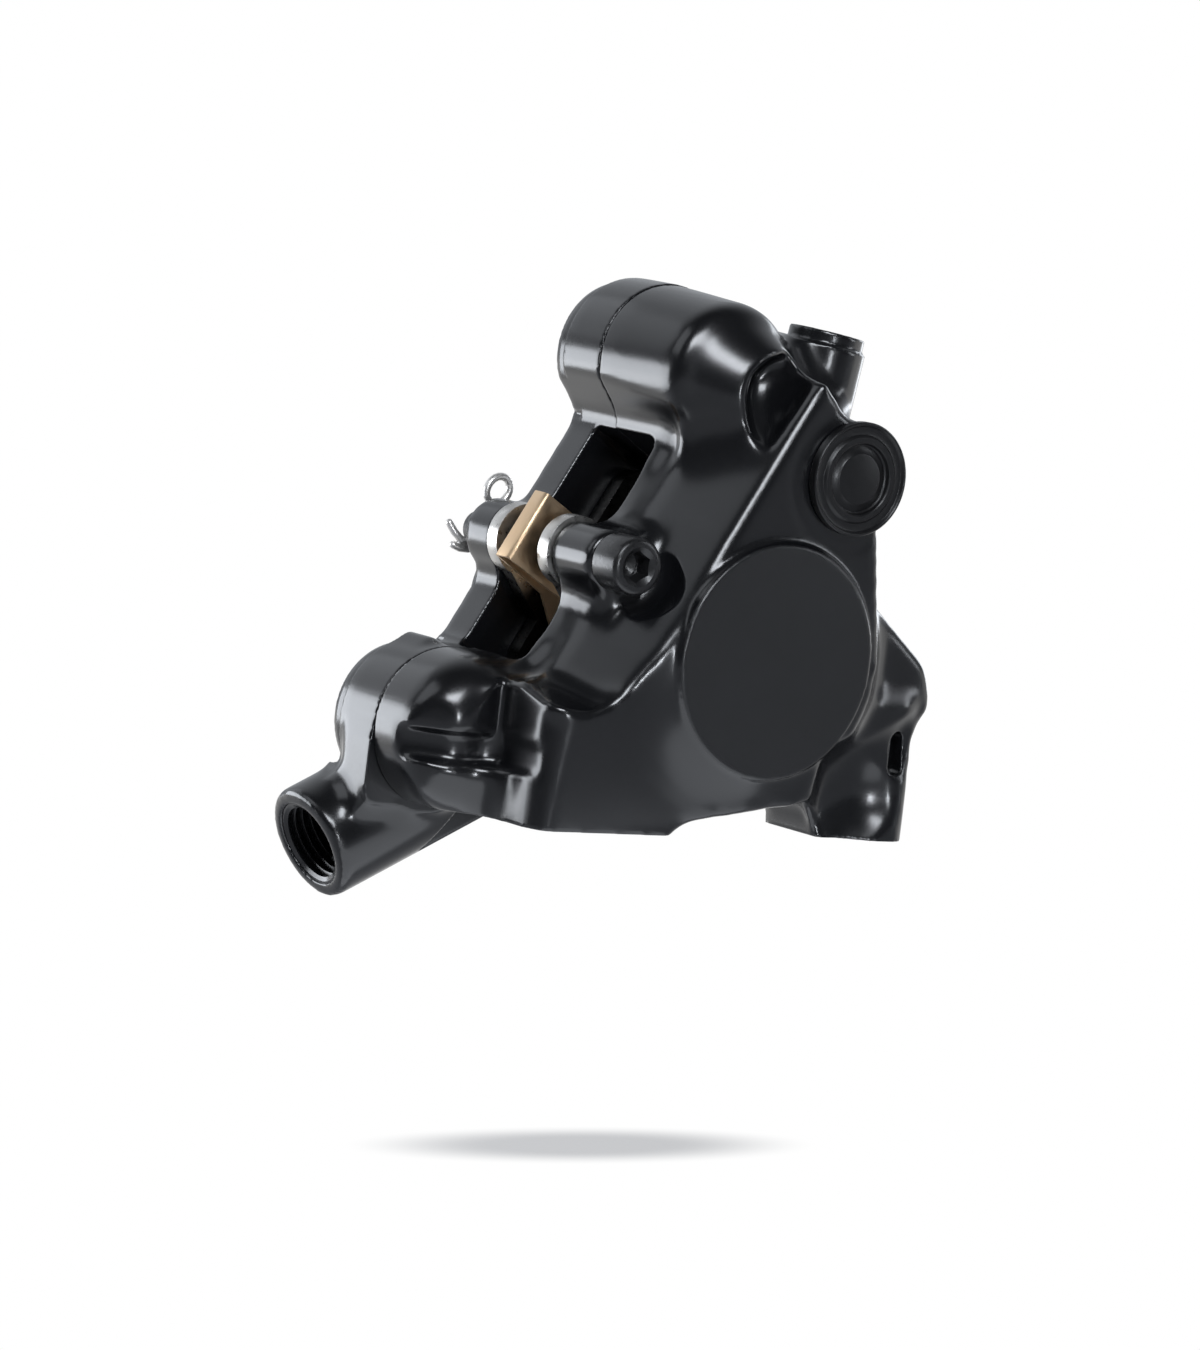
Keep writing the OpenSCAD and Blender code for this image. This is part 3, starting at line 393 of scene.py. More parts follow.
def makeCornerCut(p):
    # rounds the upright edge at the left end of the skirt
    x, y, big = p["skirtCorner"]
    over = p["cornerOver"]
    arc = [(x + big - big * math.cos(t), y + big - big * math.sin(t)) for t in quarterTurn()]
    return addColumn("cornerCut", arc + [(x + big, y - over), (x - over, y - over), (x - over, y + big)],
                     -over, p["cornerTop"])


def makeDiscCuts(p):
    # the skirt falls away from the disc, whose old rim goes beside the crease and stays below it for a fillet
    centre = axisPoint(places["piston"])
    along = padPoint(1, 0, 0) - padPoint(0, 0, 0)
    flareAxis, discAxis = (Vector((0, math.cos(p[k]), 0)) + along * math.sin(p[k]) for k in ("flareTip", "discTip"))
    flare = addTurned("flareCut", p["flare"], centre, flareAxis)
    reach, front, flat = p["discTrim"]
    lowTrim = addTurned("lowTrim", [(0, flat), (reach, flat), (reach, front), (0, front)], centre, discAxis)
    keepInside(lowTrim, addBlock("lowTrimZone", (-far, -far, -far), (p["discLap"], 0, far), lean=True))
    highTrim = addDrum("highTrim", places["piston"], *p["discTrim"])
    keepInside(highTrim, addBlock("highTrimZone", (0, -far, -far), (far, 0, far), lean=True))
    return flare, lowTrim, highTrim


def plugOuterHalf(p):
    # the solid's copy with its bores filled, so that the smoothing doesn't round their mouths
    wall, parting, pull = stations["wall"], stations["parting"], p["pull"]
    base = copyNode("outerBase", "outer_body_half")
    pullFaces(base, 1, wall, 1, pull)
    pullFaces(base, 1, parting, 1, pull)
    pullFaces(base, 2, 0, -1, pull)
    top, down = valve["top"], valve["down"]
    wallEnd, partingEnd = wall + pull - p["plugGap"], parting + pull - p["plugGap"]
    valveR, valveStart, valveEnd = p["valvePlug"]
    footR, footLow, footHigh = p["footPlug"]
    end, strip = p["windowEnd"], p["stripV"]
    inside, outside, low, step = p["neck"]
    plugs = [
        addDrum("borePlug", places["piston"], *p["pistonPlug"], wallEnd),
        addDrum("axlePlug", places["axle"], *p["axlePlug"], wallEnd),
        addDrum("upperBoltPlug", places["upperBolt"], *p["boltPlug"], partingEnd),
        addDrum("lowerBoltPlug", places["lowerBolt"], *p["boltPlug"], partingEnd),
        addDrum("bleedPlug", places["bleed"], *p["bleedPlug"]),
        addRod("valvePlug", top + down * valveStart, top + down * valveEnd, valveR),
        addRod("leftFootPlug", (*places["leftFoot"], footLow), (*places["leftFoot"], footHigh), footR),
        addRod("rightFootPlug", (*places["rightFoot"], footLow), (*places["rightFoot"], footHigh), footR),
        addBlock("upperNeck", (end - inside, wall - step, low), (end + outside, partingEnd, strip), lean=True),
        addBlock("lowerNeck", (-end - outside, wall - step, low), (inside - end, partingEnd, strip), lean=True),
        addSheet("scoopPlug", p["scoopFill"], *p["scoopReach"]),
    ]
    return fuse("outerForging", [base] + plugs, p["voxel"])


def addFillets(body, p):
    # broader hollows where the upper head runs into the roof and the disc into the skirt
    fillers = []
    for low, high, broad in p["fillets"]:
        filler = bpy.data.objects.new("fillet", body.data.copy())
        bpy.context.scene.collection.objects.link(filler)
        fillCorners(filler, p["voxel"], broad)
        soften(filler, p["voxel"], p["filletSoft"])
        fillers.append(keepInside(filler, addBlock("filletZone", low, high, lean=True)))
    return fuse("outerForging", [body] + fillers, p["voxel"])


def cutOuterHalf(body, p):
    # faces, bores and seats, which stay crisp
    wall, parting, end = stations["wall"], stations["parting"], p["windowEnd"]
    top, down, deep = valve["top"], valve["down"], parting + p["windowDeep"]
    wallBlock = addBlock("wallCut", (-far, wall, -far), (far, deep, p["wallV"]), lean=True)
    carve(wallBlock, addRod("bossKeep", top - down * p["bossOver"], top + down * p["bossDeep"], p["valveBoss"]))
    slotX, slotR, slotLow, slotHigh, slotEnd = p["slot"]
    scoopR, scoopEnd, scoopRound = p["scoop"]
    headR, headEnd = p["headRoom"]
    carve(
        body,
        addWrap("slotCut", addDrum("slotFoot", (slotX, slotLow), slotR, -far, slotEnd),
                addDrum("slotHead", (slotX, slotHigh), slotR, -far, slotEnd)),
        addBlock("partingCut", (-far, parting, -far), (far, far, far)),
        roundEdges(addBlock("windowCut", (-end, wall, -far), (end, deep, far), lean=True), p["windowRound"]),
        wallBlock,
        addBlock("footCut", (-far, -far, -far), (far, far, 0)),
        addDrum("boreCut", places["piston"], bores["piston"], p["boreFloor"], far),
        addDrum("axleCut", places["axle"], bores["axle"], -far, far),
        roundEdges(addDrum("scoopCut", places["axle"], scoopR, -far, scoopEnd), scoopRound, 8),
        addDrum("headCut", places["axle"], headR, -far, headEnd),
        addTurned("valveStep", p["valveStep"], top, down),
        addDrum("upperBoltCut", places["upperBolt"], bores["bolt"], p["boltFloor"], far),
        addDrum("lowerBoltCut", places["lowerBolt"], bores["bolt"], p["boltFloor"], far),
        addDrum("bleedCut", places["bleed"], bores["bleed"], -far, p["bleedFloor"]),
        addRod("valveCut", top - down * far, top + down * valve["depth"], valve["hole"]),
        addRod("leftFootCut", (*places["leftFoot"], -far), (*places["leftFoot"], p["footDeep"]), bores["foot"]),
        addRod("rightFootCut", (*places["rightFoot"], -far), (*places["rightFoot"], p["footDeep"]), bores["foot"]),
    )


def makeOuterHalf(p):
    body = plugOuterHalf(p)
    flank = [padXZ(*point) for point in p["flank"]]
    carve(
        body,
        addPlate("flankCut", flank, p["flankFrom"], p["flankTo"]),
        makeNoseTrim(p),
        *makeDiscCuts(p),
        makeCornerCut(p),
        addTurned("bossRing", p["bossRing"], axisPoint(places["bleed"])),
    )
    remesh(body, p["voxel"])
    fillCorners(body, p["voxel"], p["fill"])
    body = addFillets(body, p)
    carve(
        body,
        addColumn("noseCut", p["nosePlan"], p["grooveZ"][0], p["noseTop"]),
        addColumn("grooveCut", p["groovePlan"], *p["grooveZ"]),
        addSheet("roofTrim", p["roofTrim"], *p["roofReach"]),
        makePocketCut(p),
    )
    remesh(body, p["voxel"])
    soften(body, p["voxel"], p["soft"])
    top, down = valve["top"], valve["down"]
    boss = addRod("valveBoss", top - down * p["bossLap"], top + down * p["bossDeep"], p["valveBoss"])
    disc = addDrum("frontDisc", places["piston"], *p["disc"], sides=160)
    body = fuse("outerForging", [body, boss, disc], p["mid"])
    soften(body, p["mid"], p["midSoft"])
    cutOuterHalf(body, p)
    return finishForging(body, p["fine"], p["edge"], p["triangles"])


innerHalf = {
    "voxel": 0.36, "fill": 2.0, "soft": 0.6, "fine": 0.2, "edge": 0.15, "triangles": 170000, "pull": 2.0,
    "plugGap": 0.3, "pistonPlug": (13.4, 29), "axlePlug": (2.7, 20.3), "boltPlug": (4.9, 21.5),
    "hosePlug": (5.2, 0.2, 13), "neck": (11, 19, 7, 1.3, 18.4), "windowEnd": 14.4, "windowRound": 1.1,
    "windowDeep": 9, "wallV": 9.5, "flankFrom": 5, "flankTo": 30, "boreFloor": 28.3, "headSeat": 18.1,
    "capStep": (9.6, 8.1, 19.5), "capTaper": (0.9, 20.8), "capEnd": 24, "capZone": (18.6, 15, 26),
}


def makeCapStep(name, xz, p):
    # ring that takes the end of a lobe down to its cap, only where the lobe stands free
    big, small, start = p["capStep"]
    taper, taperStart = p["capTaper"]
    low, zoneStart, zoneEnd = p["capZone"]
    end = p["capEnd"]
    ring = addTurned(name, [(small, start), (big, start), (big, end), (small - taper, end), (small, taperStart)],
                     axisPoint(xz))
    corners = [padXZ(*corner) for corner in ((-far, low), (far, low), (far, far), (-far, far))]
    return keepInside(ring, addPlate("capZone", corners, zoneStart, zoneEnd))


def makeInnerHalf(p):
    wall, parting, pull = stations["innerWall"], stations["parting"], p["pull"]
    base = copyNode("innerBase", "inner_body_half")
    pullFaces(base, 1, wall, -1, pull)
    pullFaces(base, 1, parting, -1, pull)
    mouth, inward = hose["mouth"], hose["inward"]
    wallEnd, partingEnd = wall - pull + p["plugGap"], parting - pull + p["plugGap"]
    pistonR, pistonEnd = p["pistonPlug"]
    axleR, axleEnd = p["axlePlug"]
    boltR, boltEnd = p["boltPlug"]
    hoseR, hoseStart, hoseEnd = p["hosePlug"]
    inside, outside, low, step, high = p["neck"]
    plugs = [
        addDrum("borePlug", places["piston"], pistonR, wallEnd, pistonEnd),
        addDrum("axlePlug", places["axle"], axleR, wallEnd, axleEnd),
        addDrum("upperBoltPlug", places["upperBolt"], boltR, partingEnd, boltEnd),
        addDrum("lowerBoltPlug", places["lowerBolt"], boltR, partingEnd, boltEnd),
        addRod("hosePlug", mouth + inward * hoseStart, mouth + inward * hoseEnd, hoseR),
        addBlock("upperNeck", (inside, partingEnd, low), (outside, wall + step, high), lean=True),
        addBlock("lowerNeck", (-outside, partingEnd, low), (-inside, wall + step, high), lean=True),
    ]
    body = fuse("innerForging", [base] + plugs, p["voxel"])
    carve(body, addPlate("flankCut", [padXZ(*point) for point in outerHalf["flank"]], p["flankFrom"], p["flankTo"]))
    remesh(body, p["voxel"])
    fillCorners(body, p["voxel"], p["fill"])
    soften(body, p["voxel"], p["soft"])
    end, deep = p["windowEnd"], parting - p["windowDeep"]
    carve(
        body,
        addBlock("partingCut", (-far, -far, -far), (far, parting, far)),
        roundEdges(addBlock("windowCut", (-end, deep, -far), (end, wall, far), lean=True), p["windowRound"]),
        addBlock("wallCut", (-far, deep, -far), (far, wall, p["wallV"]), lean=True),
        makeCapStep("upperCapCut", places["upperLobe"], p),
        makeCapStep("lowerCapCut", places["lowerLobe"], p),
        addDrum("boreCut", places["piston"], bores["piston"], -far, p["boreFloor"]),
        addDrum("axleCut", places["axle"], bores["axle"], -far, far),
        addDrum("upperBoltCut", places["upperBolt"], bores["bolt"], -far, far),
        addDrum("lowerBoltCut", places["lowerBolt"], bores["bolt"], -far, far),
        addDrum("upperHeadCut", places["upperBolt"], bores["boltHead"], p["headSeat"], far),
        addDrum("lowerHeadCut", places["lowerBolt"], bores["boltHead"], p["headSeat"], far),
        addRod("hoseCut", mouth - inward * far, mouth + inward * hose["depth"], hose["bore"]),
    )
    return finishForging(body, p["fine"], p["edge"], p["triangles"])


outerForging = place(makeOuterHalf(outerHalf), "caliper", "body", "outer_body_half")
innerForging = place(makeInnerHalf(innerHalf), "caliper", "body", "inner_body_half")
print("forgings made")

axle = {
    "head": 3.1, "front": -5.9, "seat": -1.62, "shank": 2.0, "tip": 24.3, "edge": 0.05,
    # rounded ends as steps in from the side and back from the end
    "headRound": [(0.62, 0), (0.3, 0.09), (0.09, 0.3), (0, 0.62)], "seatRound": 0.14,
    "tipRound": [(0, 0.5), (0.12, 0.2), (0.5, 0)],
    "key": 1.5, "keyFloor": -3.5, "keyOver": 1, "keyFlare": (0.05, 2.15, 0.02, 0.45), "keyEnd": (0.3, 1.45, 0.1, 0.6),
    "clipY": 23.0, "clipTurn": math.radians(48), "clipHole": 0.88, "clipReach": 4,
}
axle["clipWay"] = Vector((math.cos(axle["clipTurn"]), 0, math.sin(axle["clipTurn"])))
axle["clipSide"] = Vector((math.sin(axle["clipTurn"]), 0, -math.cos(axle["clipTurn"])))


def makeAxle(p):
    x, z = places["axle"]
    head, front, seat, shank, tip = p["head"], p["front"], p["seat"], p["shank"], p["tip"]
    profile = [(0, front)] + [(head - inward, front + back) for inward, back in p["headRound"]]
    profile += [(head, seat - p["seatRound"]), (head - p["seatRound"], seat), (shank, seat)]
    profile += [(shank - inward, tip - back) for inward, back in p["tipRound"]] + [(0, tip)]
    pin = addTurned("padPin", profile, (x, 0, z))
    middle, reach = Vector((x, p["clipY"], z)), p["clipWay"] * p["clipReach"]
    key, floor = p["key"], p["keyFloor"]
    flareIn, flareWide, flareAhead, flareDeep = p["keyFlare"]
    endNarrow, endWide, endAhead, endDeep = p["keyEnd"]
    carve(
        pin,
        addDrum("keyCut", (x, z), key / math.cos(math.radians(30)), front - p["keyOver"], floor, sides=6),
        addDrum("keyFlare", (x, z), key - flareIn, front - flareAhead, front + flareDeep, front=flareWide),
        addDrum("keyEnd", (x, z), endNarrow, floor - endAhead, floor + endDeep, front=endWide),
        addRod("clipCut", middle - reach, middle + reach, p["clipHole"]),
    )
    return breakEdges(pin, p["edge"])


clip = {
    "wire": 0.43, "neck": 2.45, "throat": (0.4, 0.2), "voxel": 0.1,
    "eye": 1.4, "eyeLong": 1.15, "eyeGap": 0.3, "eyeAside": 1.9, "eyeTurn": (-62, 304), "eyeSteps": 18,
    # the bent legs as places along, across and off the neck's end
    "legA": [(-1.2, -1.2, 0.5), (-0.9, -0.4, 0.3), (-0.3, 0.3, 0.1)],
    "legB": [(-0.2, -0.9, 0.3), (-0.1, -2.1, 0.7), (0.2, -3.1, 1.0)],
}


def makeClip(p):
    x, z = places["axle"]
    middle, way, side = Vector((x, axle["clipY"], z)), axle["clipWay"], axle["clipSide"]

    def at(along, across, lift=0.0):
        return middle + way * along + side * across + Vector((0, lift, 0))

    wire, neck, eye, steps = p["wire"], p["neck"], p["eye"], p["eyeSteps"]
    start, sweep = p["eyeTurn"]
    turns = [math.radians(start + sweep * i / steps) for i in range(steps + 1)]
    ring = [at(neck + eye + p["eyeGap"] + eye * p["eyeLong"] * math.sin(t), eye * math.cos(t) - p["eyeAside"])
            for t in turns]
    legA, legB = ([at(along - neck, across, lift) for along, across, lift in p[leg]] for leg in ("legA", "legB"))
    low, high = p["throat"]
    chain = legA + [at(low - neck, wire), at(neck - high, wire)] + ring
    chain += [at(neck - high, -wire), at(low - neck, -wire)] + legB
    return addWire("pinClip", chain, wire, p["voxel"])


spring = {
    "sheet": 0.38, "top": 24.0, "half": 1.32, "corner": 0.55, "knee": 17.2, "foot": 10.1, "footOut": 3.62,
    # the side's end and the leaf's start, out from the half width and up from the knee
    "sideEnd": (0.1, 3.2), "leafStart": (0.12, 3.0), "leafSteps": 8, "ease": 0.45, "waist": 1.5, "edge": 0.06,
    "saddle": (-5.1, 3.1), "leaf": (-8.0, 6.0), "footOver": 0.5, "beyond": 3, "hole": 2.15, "wide": 22, "high": 30,
}


def makeSpring(p):
    # one side as a chain of points from the saddle's middle to a leaf's foot
    half, top, corner, t = p["half"], p["top"], p["corner"], p["sheet"]
    side = [(half - corner + corner * math.sin(a), top - corner + corner * math.cos(a)) for a in quarterTurn(6)]
    (sideOut, sideUp), (leafOut, leafUp) = p["sideEnd"], p["leafStart"]
    side += [(half + sideOut, p["knee"] + sideUp)]
    out, shoulder, foot = half + leafOut, p["knee"] + leafUp, p["foot"]
    for i in range(1, p["leafSteps"] + 1):
        k = i / p["leafSteps"]
        bend = k * k * (3 - 2 * k) * p["ease"] + k * k * (1 - p["ease"])
        side.append((out + (p["footOut"] - out) * bend, shoulder + (foot - shoulder) * k))
    under = []
    for i, (y, v) in enumerate(side):
        y0, v0 = side[max(i - 1, 0)]
        y1, v1 = side[min(i + 1, len(side) - 1)]
        run = Vector((y1 - y0, v1 - v0)).normalized()
        under.append((y + run.y * t, v - run.x * t))
    mid = stations["rotor"]
    right = [(mid + y, v) for y, v in side] + [(mid + y, v) for y, v in reversed(under)]
    left = [(mid - y, v) for y, v in under] + [(mid - y, v) for y, v in reversed(side)]
    sheet = addSheet("padSpring", right + left, *p["leaf"])
    waist, low, high = p["knee"] - p["waist"], foot - p["footOver"], p["high"]
    for edge, end, beyond in zip(p["saddle"], p["leaf"], (-p["beyond"], p["beyond"])):
        corners = ((edge, high), (edge, waist), (end, low), (end + beyond, foot), (end + beyond, high))
        carve(sheet, addPlate("leafTrim", [padXZ(*corner) for corner in corners], 0, p["wide"]))
    carve(sheet, addDrum("axleTrim", places["axle"], p["hole"], 0, p["wide"]))
    return breakEdges(sheet, p["edge"])


cap = {
    "seat": -8.15, "edge": 0.05, "profile": [
        (0, 0.98), (2.72, 0.98), (2.85, 0.86), (3.55, 0.66), (3.74, 0.74), (3.86, 1.14), (3.98, 1.22), (4.5, 1.22),
        (4.66, 1.12), (4.8, 0.92), (5.62, 0.92), (5.76, 1.16), (5.88, 1.27), (6.02, 1.27), (6.16, 1.12), (6.16, 0.3),
        (6.02, 0.02), (4.5, 0.02), (4.5, -1.0), (4.3, -1.1), (3.85, -1.1), (3.75, -1.0), (3.75, -0.12), (0, -0.12)],
}


def makeCap(p):
    x, z = places["bleed"]
    rubberCap = addTurned("bleedCap", p["profile"], (x, p["seat"], z), (0, -1, 0), sides=160)
    return breakEdges(rubberCap, p["edge"])


thread = {
    "outer": 4.73, "mouth": 4.5, "root": 4.58, "crest": 4.1, "pitch": 1.0, "turns": 11, "lip": 0.3, "start": 0.55,
    "crestEnd": 0.2, "rootStart": 0.48, "rootEnd": 0.7,
}


def makeThread(p):
    # rings of the port's thread, drawn as a sleeve just inside the bore
    inner = []
    for i in range(p["turns"]):
        start = p["start"] + i * p["pitch"]
        inner += [(p["crest"], start), (p["crest"], start + p["crestEnd"]),
                  (p["root"], start + p["rootStart"]), (p["root"], start + p["rootEnd"])]
    end, lip = inner[-1][1] + p["lip"], p["lip"]
    profile = [(p["outer"], lip), (p["mouth"], lip)] + inner + [(p["crest"], end), (p["outer"], end)]
    sleeve = addTurned("hoseThread", profile, hose["mouth"], hose["inward"], sides=128)
    return smoothByAngle(sleeve, 20)


def refine(name, node, width):
    # a solid's own shape with its edges broken
    piece = copyNode(name, node)
    roundEdges(piece, width, 3)
    return smoothByAngle(piece, 40)


plateEdge, liningEdge, boltEdge, screwEdge = 0.22, 0.15, 0.18, 0.16
padPin = place(makeAxle(axle), "caliper", "axle", "pad_axle")
pinClip = place(makeClip(clip), "caliper", "clip", "pad_axle_clip")
padSpring = place(makeSpring(spring), "caliper", "spring", "pad_spring")
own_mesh(padSpring)
bleedCap = place(makeCap(cap), "caliper", "rubber", "bleed_cap")
hoseThread = place(makeThread(thread), "caliper", "body")
outerPlate = place(refine("outerPlate", "outer_pad_plate", plateEdge), "outer_pad", "plate", "outer_pad_plate")
innerPlate = place(refine("innerPlate", "inner_pad_plate", plateEdge), "inner_pad", "plate", "inner_pad_plate")
outerLining = place(refine("outerLining", "outer_pad_lining", liningEdge), "outer_pad", "lining", "outer_pad_lining")
innerLining = place(refine("innerLining", "inner_pad_lining", liningEdge), "inner_pad", "lining", "inner_pad_lining")
upperBolt = place(refine("upperBolt", "upper_bridge_bolt", boltEdge), "caliper", "bolt", "upper_bridge_bolt")
lowerBolt = place(refine("lowerBolt", "lower_bridge_bolt", boltEdge), "caliper", "bolt", "lower_bridge_bolt")
valveScrew = place(refine("valveScrew", "valve_screw", screwEdge), "valve", "axle", "valve_screw")
print("small pieces made")


def startMaterial(name):
    material = bpy.data.materials.new(name)
    material.use_nodes = True
    tree = material.node_tree
    shader = tree.nodes["Principled BSDF"]
    coords = tree.nodes.new("ShaderNodeTexCoord")
    return material, tree, shader, coords.outputs["Object"]


def addNoise(tree, coords, scale, detail=3, stretch=None):
    if stretch:
        mapping = tree.nodes.new("ShaderNodeMapping")
        mapping.inputs["Scale"].default_value = stretch
        tree.links.new(coords, mapping.inputs["Vector"])
        coords = mapping.outputs["Vector"]
    noise = tree.nodes.new("ShaderNodeTexNoise")
    noise.inputs["Scale"].default_value = scale
    noise.inputs["Detail"].default_value = detail
    tree.links.new(coords, noise.inputs["Vector"])
    return noise.outputs["Fac"]


def mapValue(tree, value, limits, kind="LINEAR"):
    ramp = tree.nodes.new("ShaderNodeMapRange")
    ramp.interpolation_type = kind
    for key, limit in zip(("From Min", "From Max", "To Min", "To Max"), limits):
        ramp.inputs[key].default_value = limit
    tree.links.new(value, ramp.inputs["Value"])
    return ramp.outputs["Result"]


noiseSpan = (0.3, 0.7)  # where most of a noise's values lie
flatten = 1000  # a scale that takes its direction out of a distance


def spread(tree, value, low, high):
    return mapValue(tree, value, (*noiseSpan, low, high))


def tint(tree, value, dark, light):
    ramp = tree.nodes.new("ShaderNodeValToRGB")
    for element, position, colour in zip(ramp.color_ramp.elements, noiseSpan, (dark, light)):
        element.position, element.color = position, (*colour, 1)
    tree.links.new(value, ramp.inputs["Fac"])
    return ramp.outputs["Color"]


def bump(tree, shader, value, depth):
    node = tree.nodes.new("ShaderNodeBump")
    node.inputs["Strength"].default_value = 1.0
    node.inputs["Distance"].default_value = depth * mm
    tree.links.new(value, node.inputs["Height"])
    tree.links.new(node.outputs["Normal"], shader.inputs["Normal"])


def makeFinish(name, dark, light, rough, grain, grainDepth, metal=0.0, specular=0.5, cloud=120, stretch=None):
    material, tree, shader, coords = startMaterial(name)
    fine = addNoise(tree, coords, grain, 2, stretch)
    broad = addNoise(tree, coords, cloud, 4)
    tree.links.new(tint(tree, broad, dark, light), shader.inputs["Base Color"])
    tree.links.new(spread(tree, fine, *rough), shader.inputs["Roughness"])
    shader.inputs["Metallic"].default_value = metal
    shader.inputs["Specular IOR Level"].default_value = specular
    bump(tree, shader, fine, grainDepth)
    return material


def measure(tree, coords, centre, turn, axis=None):
    # distance from a turned axis, or the height along one of its own axes
    mapping = tree.nodes.new("ShaderNodeMapping")
    mapping.vector_type = "TEXTURE"
    mapping.inputs["Location"].default_value = Vector(centre) * mm
    mapping.inputs["Rotation"].default_value = turn
    tree.links.new(coords, mapping.inputs["Vector"])
    if axis is None:
        mapping.inputs["Scale"].default_value = (1, flatten, 1)
        length = tree.nodes.new("ShaderNodeVectorMath")
        length.operation = "LENGTH"
        tree.links.new(mapping.outputs["Vector"], length.inputs[0])
        return length.outputs["Value"]
    split = tree.nodes.new("ShaderNodeSeparateXYZ")
    tree.links.new(mapping.outputs["Vector"], split.inputs[0])
    return split.outputs[axis]


def fadeBetween(tree, value, start, end, low=0.0, high=1.0):
    return mapValue(tree, value, (start * mm, end * mm, low, high), "SMOOTHSTEP")


def combine(tree, operation, a, b):
    node = tree.nodes.new("ShaderNodeMath")
    node.operation = operation
    tree.links.new(a, node.inputs[0])
    tree.links.new(b, node.inputs[1])
    return node.outputs["Value"]


def mattePatch(material, p):
    # the bare disc on the front is duller than the coat round it
    tree = material.node_tree
    shader = tree.nodes["Principled BSDF"]
    coords = tree.nodes["Texture Coordinate"].outputs["Object"]
    upright, rim, y = (0, 0, 0), p["rim"], p["y"]
    rimFade, yFade = p["fades"]
    radius = measure(tree, coords, axisPoint(places["piston"]), upright)
    depth = measure(tree, coords, (0, 0, 0), upright, "Y")
    near = fadeBetween(tree, radius, rim, rim + rimFade, 1.0, 0.0)
    front = fadeBetween(tree, depth, y - yFade, y, 1.0, 0.0)
    lift = combine(tree, "MULTIPLY", near, front)
    duller = tree.nodes.new("ShaderNodeMath")
    duller.operation = "MULTIPLY_ADD"
    tree.links.new(lift, duller.inputs[0])
    duller.inputs[1].default_value = p["lift"]
    tree.links.new(shader.inputs["Roughness"].links[0].from_socket, duller.inputs[2])
    tree.links.new(duller.outputs["Value"], shader.inputs["Roughness"])


satinBlack = makeFinish("satinBlackCoat", (0.0042, 0.0044, 0.0052), (0.0056, 0.0059, 0.0070), (0.20, 0.24),
                        specular=0.75, grain=4200, grainDepth=0.0001)
mattePatch(satinBlack, {"rim": 12.5, "y": -8.5, "fades": (0.25, 0.2), "lift": 0.14})
blackSteel = makeFinish("blackOxideSteel", (0.006, 0.006, 0.0065), (0.011, 0.011, 0.0118), (0.26, 0.38),
                        specular=0.6, grain=2600, grainDepth=0.002)
bareSteel = makeFinish("brightSteel", (0.62, 0.60, 0.57), (0.76, 0.74, 0.70), (0.20, 0.34), metal=1.0,
                       grain=1800, grainDepth=0.004)
clipSteel = makeFinish("clipWire", (0.70, 0.68, 0.65), (0.82, 0.80, 0.77), (0.30, 0.42), metal=0.75,
                       grain=1800, grainDepth=0.003)
# stamped steel for the pad plates, which gets painted shade below the ears further on
plateSteelAndShade = makeFinish("stampedSteelAndShade", (0.44, 0.43, 0.41), (0.60, 0.585, 0.56), (0.24, 0.42), metal=1.0,
                        grain=1500, grainDepth=0.006)


def paintShadeBelow(material, p):
    # painted shade: the plate's steel turns nearly black below its bright ear, deep in the window where shade falls
    tree = material.node_tree
    shader = tree.nodes["Principled BSDF"]
    coords = tree.nodes["Texture Coordinate"].outputs["Object"]
    height = measure(tree, coords, (pads["x"], 0, pads["z"]), (0, -pads["lean"], 0), "Z")
    bright = fadeBetween(tree, height, p["fullShadeTo"], p["bright"])
    mix = tree.nodes.new("ShaderNodeMix")
    mix.data_type = "RGBA"
    tree.links.new(bright, mix.inputs["Factor"])
    mix.inputs["A"].default_value = (*p["colour"], 1)
    tree.links.new(shader.inputs["Base Color"].links[0].from_socket, mix.inputs["B"])
    tree.links.new(mix.outputs["Result"], shader.inputs["Base Color"])


# painted shade: the plates fade from their bright ears to nearly black down in the window
paintShadeBelow(plateSteelAndShade, {"fullShadeTo": 15.2, "bright": 17.4, "colour": (0.030, 0.029, 0.028)})
bronze = makeFinish("springBronze", (0.62, 0.44, 0.27), (0.74, 0.55, 0.36), (0.34, 0.46), metal=1.0,
                    grain=900, grainDepth=0.004, stretch=(1, 0.15, 1))
rubber = makeFinish("blackRubber", (0.0045, 0.0045, 0.0050), (0.007, 0.007, 0.0077), (0.30, 0.38), specular=0.45,
                    grain=1600, grainDepth=0.002)
lining = makeFinish("frictionLining", (0.055, 0.045, 0.038), (0.16, 0.13, 0.10), (0.70, 0.90), specular=0.3,
                    grain=1200, grainDepth=0.03, cloud=1400)
ceramic = makeFinish("ceramicPiston", (0.62, 0.58, 0.50), (0.72, 0.68, 0.60), (0.30, 0.42), specular=0.5,
                     grain=1400, grainDepth=0.003)


def dress(obj, material):
    obj.data.materials.clear()
    obj.data.materials.append(material)


finishOf = {
    "passage_seal": rubber, "outer_piston": ceramic, "inner_piston": ceramic, "outer_piston_seal": rubber,
    "inner_piston_seal": rubber, "bleed_nipple": bareSteel, "valve_ring": rubber,
}
for nodeName, material in finishOf.items():
    dress(nodes[nodeName], material)
for obj, material in (
        (outerForging, satinBlack), (innerForging, satinBlack), (hoseThread, satinBlack), (padPin, blackSteel),
        (pinClip, clipSteel), (padSpring, bronze), (bleedCap, rubber), (outerPlate, plateSteelAndShade),
        (innerPlate, plateSteelAndShade), (outerLining, lining), (innerLining, lining), (upperBolt, blackSteel),
        (lowerBolt, blackSteel), (valveScrew, blackSteel)):
    dress(obj, material)
print("finishes made")

shot = {
    "right": Vector((0.805, -0.581, 0.121)), "up": Vector((-0.036, 0.156, 0.987)),
    "back": Vector((-0.593, -0.799, 0.104)), "distance": 700, "aim": (-10.75, 16.77), "lens": 173.6,
    "sensor": 36, "sight": (0.02, 10),
}


